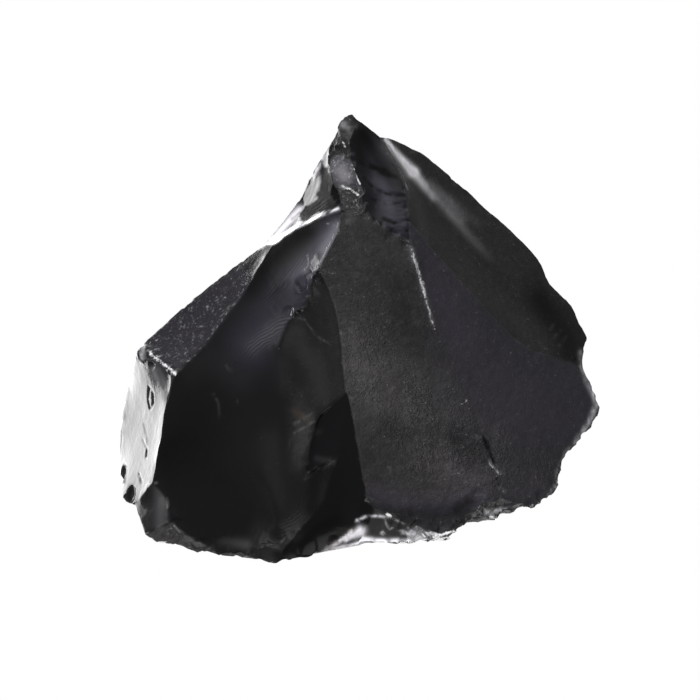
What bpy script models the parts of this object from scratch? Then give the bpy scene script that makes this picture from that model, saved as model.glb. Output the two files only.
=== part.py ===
"""A lump of raw obsidian, 75 mm wide: one piece of broken volcanic glass.

The lump is set out as named corners joined into named facets.  A facet is a
single blow's scar, so it meets its neighbours in a sharp ridge and is dished
a little towards the heart of the stone.  Small round-ended bites are then
taken out of the ridges, as chips leave them.
"""
import bmesh
import bpy
import numpy as np
from mathutils import Vector

MM = 0.001
HEART = Vector((0.0, 2.0, 22.0))   # a point deep inside, mm
LONGEST = (12.0, 6.0, 3.1, 3.1)     # longest edge left at each refining round, mm
BLEND_ROUNDS = 6                   # how far neighbouring hollows run into each other
SAG_ROUNDS = 300                   # how long a facet is let settle into its hollow
SHARP_ANGLE = 0.35                 # radians; a sharper bend than this is a ridge
GLASS_COLOUR = (0.012, 0.0105, 0.014, 1.0)
GLASS_ROUGHNESS = 0.18

# Corners, mm.  X to the right, Y to the back, Z up from the face it rests on.
CORNERS = {
    # crown, a rough double knob at the top
    "tip": (-1.5, 6, 58.5),
    "tip_back": (-3, 6, 57.5),
    "tip_left": (-4, 5, 55.5),
    "tip_right": (0, 7, 57),
    "crown_left": (-5.5, 6, 53.5),
    "crown_front": (-2, 3, 55),
    "brow_top": (-4.5, 4, 52),
    "brow_low": (-4, 1.5, 48.5),
    # crown facet on the right of the crown
    "crest_left": (-1.5, 1.5, 52),
    "crest_left_low": (0, -1, 48.5),
    "crest_foot": (1, -3, 45.5),
    "crest_low": (4, -3.5, 43.5),
    "crest_corner": (7.5, -2.5, 41),
    "crest_right_low": (7.5, -1, 43.5),
    "crest_right": (6.5, 3, 49.5),
    "crest_right_top": (3, 8, 54),
    # wing, the hollow on the left of the crown
    "junction": (-2.5, -3.5, 46.5),
    "wing_low": (-6.5, -2, 44.5),
    "wing_low_mid": (-9.5, -0.5, 42.5),
    "wing_end": (-13.5, 1.5, 39),
    "wing_rim_end": (-15, 5, 37.5),
    "wing_rim_low": (-11, 8.5, 41.5),
    "wing_rim_mid": (-9, 9, 44),
    "wing_rim": (-8, 9, 46.5),
    "wing_rim_top": (-6.5, 8, 50),
    # shoulder on the upper left
    "shoulder_rim": (-18.5, 5, 35),
    "shoulder_rim_low": (-26.5, 3, 29),
    "shoulder_low": (-17, -0.5, 33),
    "shoulder_low_mid": (-20.5, -3, 29),
    "shoulder_low_end": (-24.5, -6, 24.5),
    "shoulder_corner": (-28, -8.5, 22),
    "knob_top": (-33, 1, 23.5),
    "knob_end": (-34.5, 0, 22.5),
    "knob_front": (-32.5, -3, 22),
    # cheek, the bright facet on the far left
    "cheek_edge": (-29, -9.5, 18.5),
    "cheek_edge_low": (-30, -12, 13.5),
    "cheek_foot": (-31.5, -14, 7),
    "cheek_rim": (-37, 4, 14),
    "cheek_rim_low": (-38.5, 2, 6.5),
    "cheek_rim_foot": (-38.5, 0, 0.8),
    "cheek_low": (-37, -9.5, 0.5),
    "cheek_low_front": (-35, -11.5, 0.6),
    # heel, the small scar at the bottom left
    "heel_left": (-34, -15, 0.8),
    "heel_front": (-32.5, -20.5, 0.6),
    "heel_inner": (-29.5, -16.5, 5),
    "heel_inner_low": (-29, -19.5, 2.5),
    # foot of the great facet
    "foot_left": (-23.5, -27, 0.5),
    "foot_inner": (-24, -21.5, 4),
    "foot_corner": (-30.5, -22.5, 0.5),
    "foot_hollow": (-27.5, -23.5, 0.8),
    "foot_nick": (-22, -26, 1),
    "foot_mid": (-18.5, -27.5, 0.5),
    "foot_front": (-12.5, -28.5, 0.4),
    "foot_right": (-7.5, -27, 0.6),
    "foot_lip": (-14.5, -27, 1.8),
    # backbone, the long ridge down the middle
    "bone_top": (-3.5, -5, 44),
    "bone_bend": (-5.5, -7, 40.5),
    "bone_upper": (-4, -9.5, 34.5),
    "bone_mid": (-3, -12, 30),
    "bone_notch": (-2.5, -14.5, 24),
    "bone_lower": (-1, -17, 19),
    "bone_low": (0, -19, 12.5),
    "bone_foot": (1, -20.5, 7),
    "bone_end": (2, -21, 5),
    # step left in the great facet by a smaller blow
    "step_top": (-9, -5, 37.5),
    "step_in": (-6.5, -8, 34.5),
    "step_out": (-11.5, -7, 31.5),
    "step_low": (-13.5, -9, 27.5),
    "step_end": (-10, -13.5, 21),
    # notch below it
    "notch_left": (-6.5, -16, 19.5),
    "notch_low": (-8, -18, 13.5),
    "notch_point": (-8.5, -19, 10),
    "notch_right": (-4.5, -19.5, 12.5),
    "notch_far": (-2.5, -18.5, 14),
    # lip between the great facet and the gully
    "lip_top": (-4, -20.5, 10.5),
    "lip_mid": (-5.5, -22.5, 6.5),
    "lip_low": (-9, -24.5, 4),
    # front foot, right of the backbone
    "sill_start": (6, -21, 4),
    "sill_mid": (9, -20.5, 1.5),
    "sill_right": (12, -20, 1),
    "sill_rise": (14.5, -19.5, 1.8),
    "sill_corner": (18, -18.5, 3.2),
    "sill_top": (19, -17, 4.7),
    "sill_end": (23.5, -14, 1.8),
    "base_front": (-4.5, -25.5, 0.8),
    "base_bone": (0, -23, 0.6),
    "base_sill": (5.5, -22.5, 0.4),
    "base_right": (13.5, -22, 0.4),
    "base_rise": (15.5, -20, 0.5),
    "base_corner": (18.5, -17.5, 0.6),
    "base_end": (22, -16, 0.4),
    # bruised ridge that fades out down the right-hand face
    "bruise_top": (8, -4.2, 38.2),
    "bruise_mid": (10, -7.3, 34.5),
    "bruise_low": (12, -12.5, 28.5),
    "bruise_fade": (13.5, -15.5, 20.5),
    "bruise_end": (15.5, -18, 12),
    # back edge of the right-hand face
    "flank_top": (12.5, 0, 37),
    "flank_mid": (18.5, 0.5, 30),
    "flank_low": (23, 2, 24),
    "flank_foot": (27.5, 3.5, 20),
    "flank_end": (35.5, 9, 15.5),
    # roll along the right shoulder
    "roll_top": (9.5, 11, 46.5),
    "roll_mid": (13.5, 11.5, 41),
    "roll_low": (19, 11, 35),
    "roll_end": (25.5, 10, 28),
    # skyline of the right shoulder
    "sky_top": (5.5, 12, 52.5),
    "sky_high": (11, 15, 48.5),
    "sky_upper": (16.5, 17, 43),
    "sky_mid": (20, 18, 39),
    "sky_low": (24.5, 19, 35),
    "sky_lower": (29.5, 19.5, 29.5),
    "sky_nick": (31, 19, 25.5),
    "sky_foot": (35, 18, 22),
    "sky_end": (37.5, 16, 17),
    "sky_corner": (37, 14, 15.5),
    # right-hand end
    "end_top": (37.5, 8, 12),
    "end_tip": (39.2, 8, 8),
    "end_low": (37.5, 5, 6.5),
    "end_chip": (34.5, 1, 4.5),
    "end_waist": (31.5, -2.5, 3.2),
    "end_foot": (31.5, -4.5, 1),
    "end_toe": (30, -8.5, 0.5),
    "end_heel": (26.5, -12.5, 0.4),
    # hidden back
    "back_top": (0, 15, 49.5),
    "back_right": (27, 26, 12),
    "back_end": (35, 16, 8),
    "back_mid": (2, 26, 27),
    "back_left": (-22, 18, 23),
    "back_low": (-9, 29, 8),
    # the flat face it rests on
    "rest_cheek": (-36, -8, 0),
    "rest_heel": (-33, -15, 0),
    "rest_left": (-31, -20, 0),
    "rest_foot": (-23, -25.5, 0),
    "rest_front": (-12, -27, 0),
    "rest_bone": (-3.5, -24, 0),
    "rest_sill": (4.5, -21, 0),
    "rest_right": (13, -20.5, 0),
    "rest_end": (21.5, -14.5, 0),
    "rest_toe": (28.5, -8, 0),
    "rest_waist": (29, 6, 0),
    "rest_far_right": (28, 20, 0),
    "rest_back": (9, 27, 0),
    "rest_back_left": (-14, 27, 0),
    "rest_far_left": (-32, 15, 0),
    "rest_near_left": (-37, 5, 0),
}

# Facets: name, corners in order, how far the middle is dished inwards (mm)
FACETS = [
    ("knob", "tip tip_back tip_left crown_front tip_right", -0.3),
    ("knob_low", "tip_left crown_left brow_top crest_left crown_front", -0.3),
    ("brow", "brow_top brow_low crest_left_low crest_left", 0.3),
    ("crushed", "brow_low junction crest_foot crest_left_low", 0.4),
    ("crest", "crown_front crest_left crest_left_low crest_foot crest_low crest_corner "
              "crest_right_low crest_right crest_right_top tip_right", 1.0),
    ("wing_upper", "crown_left wing_rim_top wing_rim brow_low brow_top", 1.0),
    ("wing_lower", "wing_rim wing_rim_mid wing_rim_low wing_rim_end wing_end "
                   "wing_low_mid wing_low junction brow_low", 1.2),
    ("shoulder", "wing_rim_end shoulder_rim shoulder_rim_low knob_top knob_front "
                 "shoulder_corner shoulder_low_end shoulder_low_mid shoulder_low "
                 "wing_end", 0.4),
    ("left_knob", "knob_top knob_end knob_front", -0.4),
    ("cheek", "knob_front knob_end cheek_rim cheek_rim_low cheek_rim_foot cheek_low "
              "cheek_low_front cheek_foot cheek_edge_low cheek_edge shoulder_corner", 0.5),
    ("heel", "cheek_foot cheek_low_front heel_left heel_front heel_inner_low "
             "heel_inner", 0.8),
    ("great", "shoulder_corner cheek_edge cheek_edge_low cheek_foot heel_inner "
              "heel_inner_low foot_inner foot_mid foot_lip lip_low lip_mid lip_top "
              "notch_far notch_right notch_point notch_low notch_left step_end "
              "step_low step_out step_in step_top bone_bend bone_top junction "
              "wing_low wing_low_mid wing_end shoulder_low shoulder_low_mid "
              "shoulder_low_end", 3.0),
    ("stepped", "bone_bend step_top step_in step_out step_low step_end notch_left "
                "bone_notch bone_mid bone_upper", 1.2),
    ("notch", "bone_notch notch_left notch_low notch_point notch_right notch_far", 0.8),
    ("foot_scar", "heel_inner_low heel_front foot_corner foot_hollow "
                  "foot_left foot_nick foot_mid foot_inner", 0.5),
    ("foot_flake", "foot_lip foot_mid foot_front lip_low", 0.3),
    ("gully", "bone_notch notch_far lip_top lip_mid lip_low foot_front foot_right "
              "base_front base_bone bone_end bone_foot bone_low bone_lower", 2.2),
    ("face", "junction bone_top bone_bend bone_upper bone_mid bone_notch bone_lower "
             "bone_low bone_foot bone_end sill_start sill_mid sill_right sill_rise "
             "sill_corner bruise_end bruise_fade bruise_low bruise_mid bruise_top "
             "crest_corner crest_low crest_foot", 0.4),
    ("flank", "crest_corner bruise_top bruise_mid bruise_low bruise_fade bruise_end "
              "sill_corner sill_top sill_end end_heel end_toe end_foot end_waist "
              "end_chip end_low end_tip end_top flank_end flank_foot flank_low "
              "flank_mid flank_top crest_right_low", 0.3),
    ("sill_scar", "bone_end base_bone base_sill sill_mid sill_start", 0.8),
    ("sill_chip", "sill_mid base_sill base_right sill_right", 0.3),
    ("sill_rough", "sill_right base_right base_rise base_corner sill_corner "
                   "sill_rise", 0.3),
    ("sill_bright", "sill_corner base_corner base_end sill_end sill_top", 0.3),
    ("roll_inner", "crest_right_top crest_right crest_right_low flank_top flank_mid "
                   "flank_low flank_foot flank_end sky_corner sky_end sky_foot "
                   "sky_nick sky_lower roll_end roll_low roll_mid roll_top", 0.7),
    ("roll_outer", "crest_right_top roll_top roll_mid roll_low roll_end sky_lower "
                   "sky_low sky_mid sky_upper sky_high sky_top", -0.6),
    # hidden side
    ("back_crown", "tip tip_right crest_right_top sky_top sky_high sky_upper "
                   "back_top", 0.4),
    ("back_right_up", "back_top sky_upper sky_mid sky_low sky_lower sky_nick "
                      "sky_foot back_right back_mid", 1.2),
    ("back_right_low", "back_right sky_foot sky_end back_end rest_far_right", 0.8),
    ("back_end_up", "sky_end sky_corner flank_end end_top back_end", 0.3),
    ("back_end_low", "back_end end_top end_tip rest_waist rest_far_right", 0.6),
    ("back_foot", "back_mid back_right rest_far_right rest_back back_low", 1.0),
    ("back_foot_left", "back_low rest_back rest_back_left", 0.1),
    ("back_left_up", "tip_left tip_back tip back_top back_mid back_left shoulder_rim "
                     "wing_rim_end wing_rim_low wing_rim_mid wing_rim wing_rim_top "
                     "crown_left", 1.0),
    ("back_left_low", "back_left back_mid back_low rest_back_left rest_far_left", 1.5),
    ("left_side", "back_left rest_far_left rest_near_left cheek_rim_low cheek_rim "
                  "knob_end knob_top shoulder_rim_low shoulder_rim", 0.8),
    # undercut strip down to the resting face
    ("under_cheek", "cheek_rim_low rest_near_left rest_cheek cheek_low "
                    "cheek_rim_foot", 0.0),
    ("under_heel", "cheek_low rest_cheek rest_heel heel_left cheek_low_front", 0.0),
    ("under_left", "heel_left rest_heel rest_left heel_front", 0.0),
    ("under_foot", "heel_front rest_left rest_foot foot_left foot_hollow "
                   "foot_corner", 0.0),
    ("under_front", "foot_left rest_foot rest_front foot_front foot_mid foot_nick", 0.0),
    ("under_gully", "foot_front rest_front rest_bone base_front foot_right", 0.0),
    ("under_bone", "base_front rest_bone rest_sill base_bone", 0.0),
    ("under_sill", "base_bone rest_sill rest_right base_right base_sill", 0.0),
    ("under_right", "base_right rest_right rest_end base_end base_corner "
                    "base_rise", 0.0),
    ("under_end", "base_end rest_end rest_toe end_foot end_toe end_heel sill_end", 0.0),
    ("under_tip", "end_foot rest_toe rest_waist end_tip end_low end_chip "
                  "end_waist", 0.8),
    ("rest", "rest_cheek rest_heel rest_left rest_foot rest_front rest_bone "
             "rest_sill rest_right rest_end rest_toe rest_waist rest_far_right "
             "rest_back rest_back_left rest_far_left rest_near_left", 0.0),
]

# Ridges that are only a roll: the surface runs smoothly over them
ROLLS = [
    "bruise_top bruise_mid bruise_low bruise_fade bruise_end sill_corner",
    "sky_lower roll_end",
    "roll_top roll_mid roll_low roll_end sky_lower",
]

# Chips bitten out of the ridges: between two corners, how far along, ball radius, depth
BITES = [
    ("bone_top", "bone_bend", 0.9, 5.0, 0.5),
    ("step_top", "bone_bend", 0.3, 2.2, 0.5),
    ("step_in", "step_out", 0.5, 3.0, 0.5),
    ("crown_left", "brow_top", 0.5, 2.5, 0.4),
    ("tip_left", "crown_front", 0.7, 1.8, 0.2),
    ("knob_front", "shoulder_corner", 0.4, 4.0, 0.5),
    ("knob_end", "cheek_rim", 0.3, 5.0, 0.3),
    ("cheek_rim_low", "cheek_rim_foot", 0.6, 5.0, 0.4),
    ("cheek_rim_foot", "cheek_low", 0.5, 3.5, 0.4),
    ("cheek_low_front", "heel_left", 0.4, 3.0, 0.4),
    ("foot_corner", "foot_hollow", 0.5, 2.5, 0.3),
    ("foot_left", "foot_nick", 0.7, 4.0, 0.3),
    ("foot_mid", "foot_front", 0.4, 3.0, 0.3),
    ("sill_start", "sill_mid", 0.5, 3.5, 0.4),
    ("sill_right", "sill_rise", 0.6, 2.5, 0.3),
    ("sill_rise", "sill_corner", 0.6, 2.5, 0.3),
    ("base_rise", "base_corner", 0.5, 2.5, 0.3),
    ("base_end", "sill_end", 0.6, 3.0, 0.3),
    ("end_heel", "end_toe", 0.5, 3.0, 0.3),
    ("end_toe", "end_foot", 0.5, 4.0, 0.4),
    ("end_chip", "end_waist", 0.4, 5.0, 0.4),
    ("end_low", "end_chip", 0.4, 4.0, 0.3),
    ("end_tip", "end_low", 0.6, 2.5, 0.3),
    ("sky_corner", "flank_end", 0.6, 5.0, 0.6),
    ("sky_lower", "sky_nick", 0.9, 6.0, 0.4),
    ("back_top", "sky_upper", 0.2, 9.0, 0.5),
    ("back_mid", "back_right", 0.4, 9.0, 0.9),
    ("back_mid", "back_left", 0.5, 11.0, 1.0),
    ("back_left", "rest_far_left", 0.4, 9.0, 1.0),
    ("back_right", "rest_far_right", 0.6, 8.0, 0.8),
]


def clear_scene():
    for thing in list(bpy.data.objects):
        bpy.data.objects.remove(thing)


def glass():
    material = bpy.data.materials.new("obsidian_glass")
    material.use_nodes = True
    shader = material.node_tree.nodes["Principled BSDF"]
    shader.inputs["Base Color"].default_value = GLASS_COLOUR
    shader.inputs["Roughness"].default_value = GLASS_ROUGHNESS
    shader.inputs["Metallic"].default_value = 0.0
    return material


def raise_cage(sheet):
    """The named corners and facets, every ridge marked sharp."""
    sharp = sheet.edges.layers.float.new("crease_edge")
    scar = sheet.faces.layers.int.new("scar")
    corner = {name: sheet.verts.new(Vector(place)) for name, place in CORNERS.items()}
    for number, (name, ring, dish) in enumerate(FACETS):
        face = sheet.faces.new([corner[c] for c in ring.split()])
        face[scar] = number
    bmesh.ops.recalc_face_normals(sheet, faces=sheet.faces[:])
    for edge in sheet.edges:
        edge[sharp] = 1.0
    for roll in ROLLS:
        names = roll.split()
        for first, second in zip(names, names[1:]):
            sheet.edges.get((corner[first], corner[second]))[sharp] = 0.0


def on_ridge(vert, sharp):
    return any(edge[sharp] > 0.0 for edge in vert.link_edges)


def even_out(sheet, sharp):
    """Turn the free edges and slide the free corners until the triangles are even."""
    for _ in range(3):
        free = [e for e in sheet.edges if e[sharp] == 0.0]
        bmesh.ops.beautify_fill(sheet, faces=sheet.faces[:], edges=free, method="ANGLE")
        loose = [v for v in sheet.verts if not on_ridge(v, sharp)]
        for _ in range(4):
            bmesh.ops.smooth_vert(sheet, verts=loose, factor=0.6, use_axis_x=True,
                                  use_axis_y=True, use_axis_z=True)


def refine(sheet):
    """Cut every facet into even triangles and pull them taut between its ridges."""
    sharp = sheet.edges.layers.float["crease_edge"]
    for length in LONGEST:
        many = [f for f in sheet.faces if len(f.verts) > 3]
        bmesh.ops.triangulate(sheet, faces=many)
        long_edges = [e for e in sheet.edges if e.calc_length() > length]
        bmesh.ops.subdivide_edges(sheet, edges=long_edges, cuts=1)
        many = [f for f in sheet.faces if len(f.verts) > 3]
        bmesh.ops.triangulate(sheet, faces=many, quad_method="SHORT_EDGE")
        even_out(sheet, sharp)


def hollow_out(sheet):
    """Press each facet in like a shell-shaped scar: deepest mid-way, nothing at a ridge."""
    sharp = sheet.edges.layers.float["crease_edge"]
    scar = sheet.faces.layers.int["scar"]
    sheet.verts.index_update()
    count = len(sheet.verts)
    ends = np.array([[v.index for v in e.verts] for e in sheet.edges])
    pinned = np.array([on_ridge(v, sharp) for v in sheet.verts])
    links = np.bincount(ends.ravel(), minlength=count)
    sag = np.zeros(count)
    for _ in range(SAG_ROUNDS):
        total = np.bincount(ends[:, 0], sag[ends[:, 1]], count)
        total += np.bincount(ends[:, 1], sag[ends[:, 0]], count)
        sag = np.where(pinned, 0.0, total / links + 1.0)

    facing = np.zeros((len(FACETS), 3))
    deepest = np.zeros(len(FACETS))
    for face in sheet.faces:
        facing[face[scar]] += np.array(face.normal) * face.calc_area()
        top = max(sag[v.index] for v in face.verts)
        deepest[face[scar]] = max(deepest[face[scar]], top)
    facing /= np.linalg.norm(facing, axis=1)[:, None]
    push = np.zeros((count, 3))
    for face in sheet.faces:
        number = face[scar]
        if deepest[number] > 0.0:
            for vert in face.verts:
                share = FACETS[number][2] * sag[vert.index] / deepest[number]
                push[vert.index] -= facing[number] * share
    faces_round = np.array([len(v.link_faces) for v in sheet.verts])
    push /= faces_round[:, None]
    for _ in range(BLEND_ROUNDS):
        total = np.zeros((count, 3))
        np.add.at(total, ends[:, 0], push[ends[:, 1]])
        np.add.at(total, ends[:, 1], push[ends[:, 0]])
        push = np.where(pinned[:, None], 0.0, (push + total / links[:, None]) / 2)
    for vert in sheet.verts:
        vert.co += Vector(push[vert.index])


def add_object(name, mesh):
    thing = bpy.data.objects.new(name, mesh)
    bpy.context.scene.collection.objects.link(thing)
    return thing


def build_stone():
    sheet = bmesh.new()
    raise_cage(sheet)
    refine(sheet)
    hollow_out(sheet)
    bmesh.ops.scale(sheet, vec=Vector((MM, MM, MM)), verts=sheet.verts)
    mesh = bpy.data.meshes.new("obsidian_chunk")
    sheet.to_mesh(mesh)
    sheet.free()
    mesh.materials.append(glass())
    mesh.shade_smooth()
    mesh.set_sharp_from_angle(angle=SHARP_ANGLE)
    return add_object("obsidian_chunk", mesh)


def build_bites():
    """One round-ended cutter for every chip, joined into a single object."""
    sheet = bmesh.new()
    for first, second, share, radius, depth in BITES:
        spot = Vector(CORNERS[first]).lerp(Vector(CORNERS[second]), share)
        outward = (spot - HEART).normalized()
        ball = bmesh.ops.create_icosphere(sheet, subdivisions=3, radius=radius)
        bmesh.ops.translate(sheet, verts=ball["verts"],
                            vec=spot + outward * (radius - depth))
    bmesh.ops.scale(sheet, vec=Vector((MM, MM, MM)), verts=sheet.verts)
    mesh = bpy.data.meshes.new("bites")
    sheet.to_mesh(mesh)
    sheet.free()
    bites = add_object("bites", mesh)
    bites.hide_render = True
    bites.display_type = "WIRE"
    return bites


clear_scene()
stone = build_stone()
chipping = stone.modifiers.new("chipping", "BOOLEAN")
chipping.operation = "DIFFERENCE"
chipping.solver = "EXACT"
chipping.use_self = True
chipping.object = build_bites()
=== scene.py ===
"""Studio stage and finished look for a 78 mm chunk of raw obsidian.

The chunk is one piece of broken volcanic glass.  Its cage of named corners is drawn taut
into facets, each facet is pressed in like a shell-shaped scar, and then the fine relief is
cut: ripples round each blow, steps, chips along every ridge, pits and grain.

The tables are text with one row a line, and an indented line carries on its row.  Lengths
are in mm and places in the view are pixels, "across,down".  roll_top/mid/low stands for
roll_top, roll_mid and roll_low.  A value that runs along a stroke is written "first>last".
"""
import math
from collections import namedtuple

import bmesh
import bpy
import numpy as np
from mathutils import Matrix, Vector, bvhtree, kdtree, noise


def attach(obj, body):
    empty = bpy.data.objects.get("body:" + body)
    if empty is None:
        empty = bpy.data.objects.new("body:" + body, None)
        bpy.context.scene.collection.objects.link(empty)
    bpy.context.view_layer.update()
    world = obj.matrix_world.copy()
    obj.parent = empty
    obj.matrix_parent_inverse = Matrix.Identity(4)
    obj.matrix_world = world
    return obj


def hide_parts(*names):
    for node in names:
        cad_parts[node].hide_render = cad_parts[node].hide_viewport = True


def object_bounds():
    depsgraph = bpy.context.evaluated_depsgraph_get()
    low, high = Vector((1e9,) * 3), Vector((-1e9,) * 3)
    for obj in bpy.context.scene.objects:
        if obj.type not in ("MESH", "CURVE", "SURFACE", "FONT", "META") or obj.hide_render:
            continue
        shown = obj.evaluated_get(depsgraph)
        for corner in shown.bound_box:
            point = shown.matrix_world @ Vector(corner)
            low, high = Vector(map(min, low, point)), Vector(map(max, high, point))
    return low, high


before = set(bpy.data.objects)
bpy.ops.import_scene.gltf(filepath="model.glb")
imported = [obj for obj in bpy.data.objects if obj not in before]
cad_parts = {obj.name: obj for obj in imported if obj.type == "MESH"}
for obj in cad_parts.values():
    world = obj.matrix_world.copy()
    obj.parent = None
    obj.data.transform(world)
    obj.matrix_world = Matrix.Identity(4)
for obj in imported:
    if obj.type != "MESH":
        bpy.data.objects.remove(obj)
CAD_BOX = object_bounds()

bl_info = {
    "name": "Obsidian Chunk",
    "version": (1, 0, 0),
    "blender": (4, 5, 0),
    "location": "View3D > Sidebar > Obsidian",
    "description": "Builds a chunk of raw obsidian and the studio it stands in",
    "category": "Add Mesh",
}

MM = 0.001
NODE = "obsidian_chunk"

# Camera: eye level, lens and distance, and the square view it takes
EYE_DEGREES = 24.0
LENS_MM = 100.0
SENSOR_MM = 36.0
EYE_DISTANCE_MM = 304.0
AIM_MM = (-1.56, 0.0, 22.0)
VIEW_PX = 700.0


def rows(text):
    """The rows of a table, without its notes."""
    lines = text.replace("\n    ", " ").splitlines()
    return [line for line in lines if line and not line.startswith("#")]


def sets_of(count, text):
    """All the words of a table, this many at a time."""
    words = " ".join(rows(text)).split()
    return [words[i:i + count] for i in range(0, len(words), count)]


def names_in(text):
    """Names split by spaces; those after a slash share the first one's first word."""
    found = []
    for word in text.split():
        first, *others = word.split("/")
        stem = first.split("_")[0]
        found += [first] + [f"{stem}_{other}" for other in others]
    return found


def numbers(words):
    return [float(word) for word in words]


def pixel_of(text):
    return tuple(numbers(text.split(",")))


def run_of(text):
    """The values at the first and the last pixel of a stroke."""
    first, _, last = text.partition(">")
    return float(first), float(last or first)


def strokes(text, count):
    """Each row's first words, its stroke, and the facets that it lies on.

    A stroke is a width in pixels and the pixels it runs through.  A row that names no
    facets lies on those of the row before.
    """
    facets = ""
    for row in rows(text):
        row, _, named = row.partition(" on ")
        facets = named or facets
        words = row.split()
        yield words[:count], words[count:], facets


def corner_places(text):
    """Each corner's name and place; a name after a slash shares the last one's first word."""
    places = {}
    stem = ""
    for name, *place in sets_of(4, text):
        name = stem + name.replace("/", "_") if name.startswith("/") else name
        stem = name.split("_")[0]
        places[name] = tuple(numbers(place))
    return places


Facet = namedtuple("Facet", "name ring dish fineness matte pale violet haze wavy")


def facets_of(text):
    """Each facet with its ring of corners and its finish, plain where none is given."""
    facets = []
    for row in rows(text):
        head, ring = row.split(":")
        name, dish, *finish = head.split()
        plain = UNDER_FINISH if name.startswith("under_") else PLAIN_FINISH
        facets.append(Facet(name, names_in(ring), float(dish), *(numbers(finish) or plain)))
    return facets


PLAIN_FINISH = (2.1, 0.3, 0.0, 0.1, 0.006, 0.8)      # the hidden scars
UNDER_FINISH = (1.4, 0.6, 0.2, 0.0, 0.02, 1.0)       # the strip under the rim
CUT_STAGES = (6.0, 3.0, 1.35, 1.35)      # longest edge left, in units of the fineness
FLATTEN_ROUNDS = 3                       # times a cut facet's triangles are evened out
EASE_ROUNDS = 4                          # times its points are eased in each of those
RIDGE_ROUNDS = 2
HALVINGS = 2
RELAX_ROUNDS = 2
SAG_ROUNDS = 400
BLEND_ROUNDS = 8
FEWEST_FACES, MOST_FACES = 20000, 200000

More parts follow.
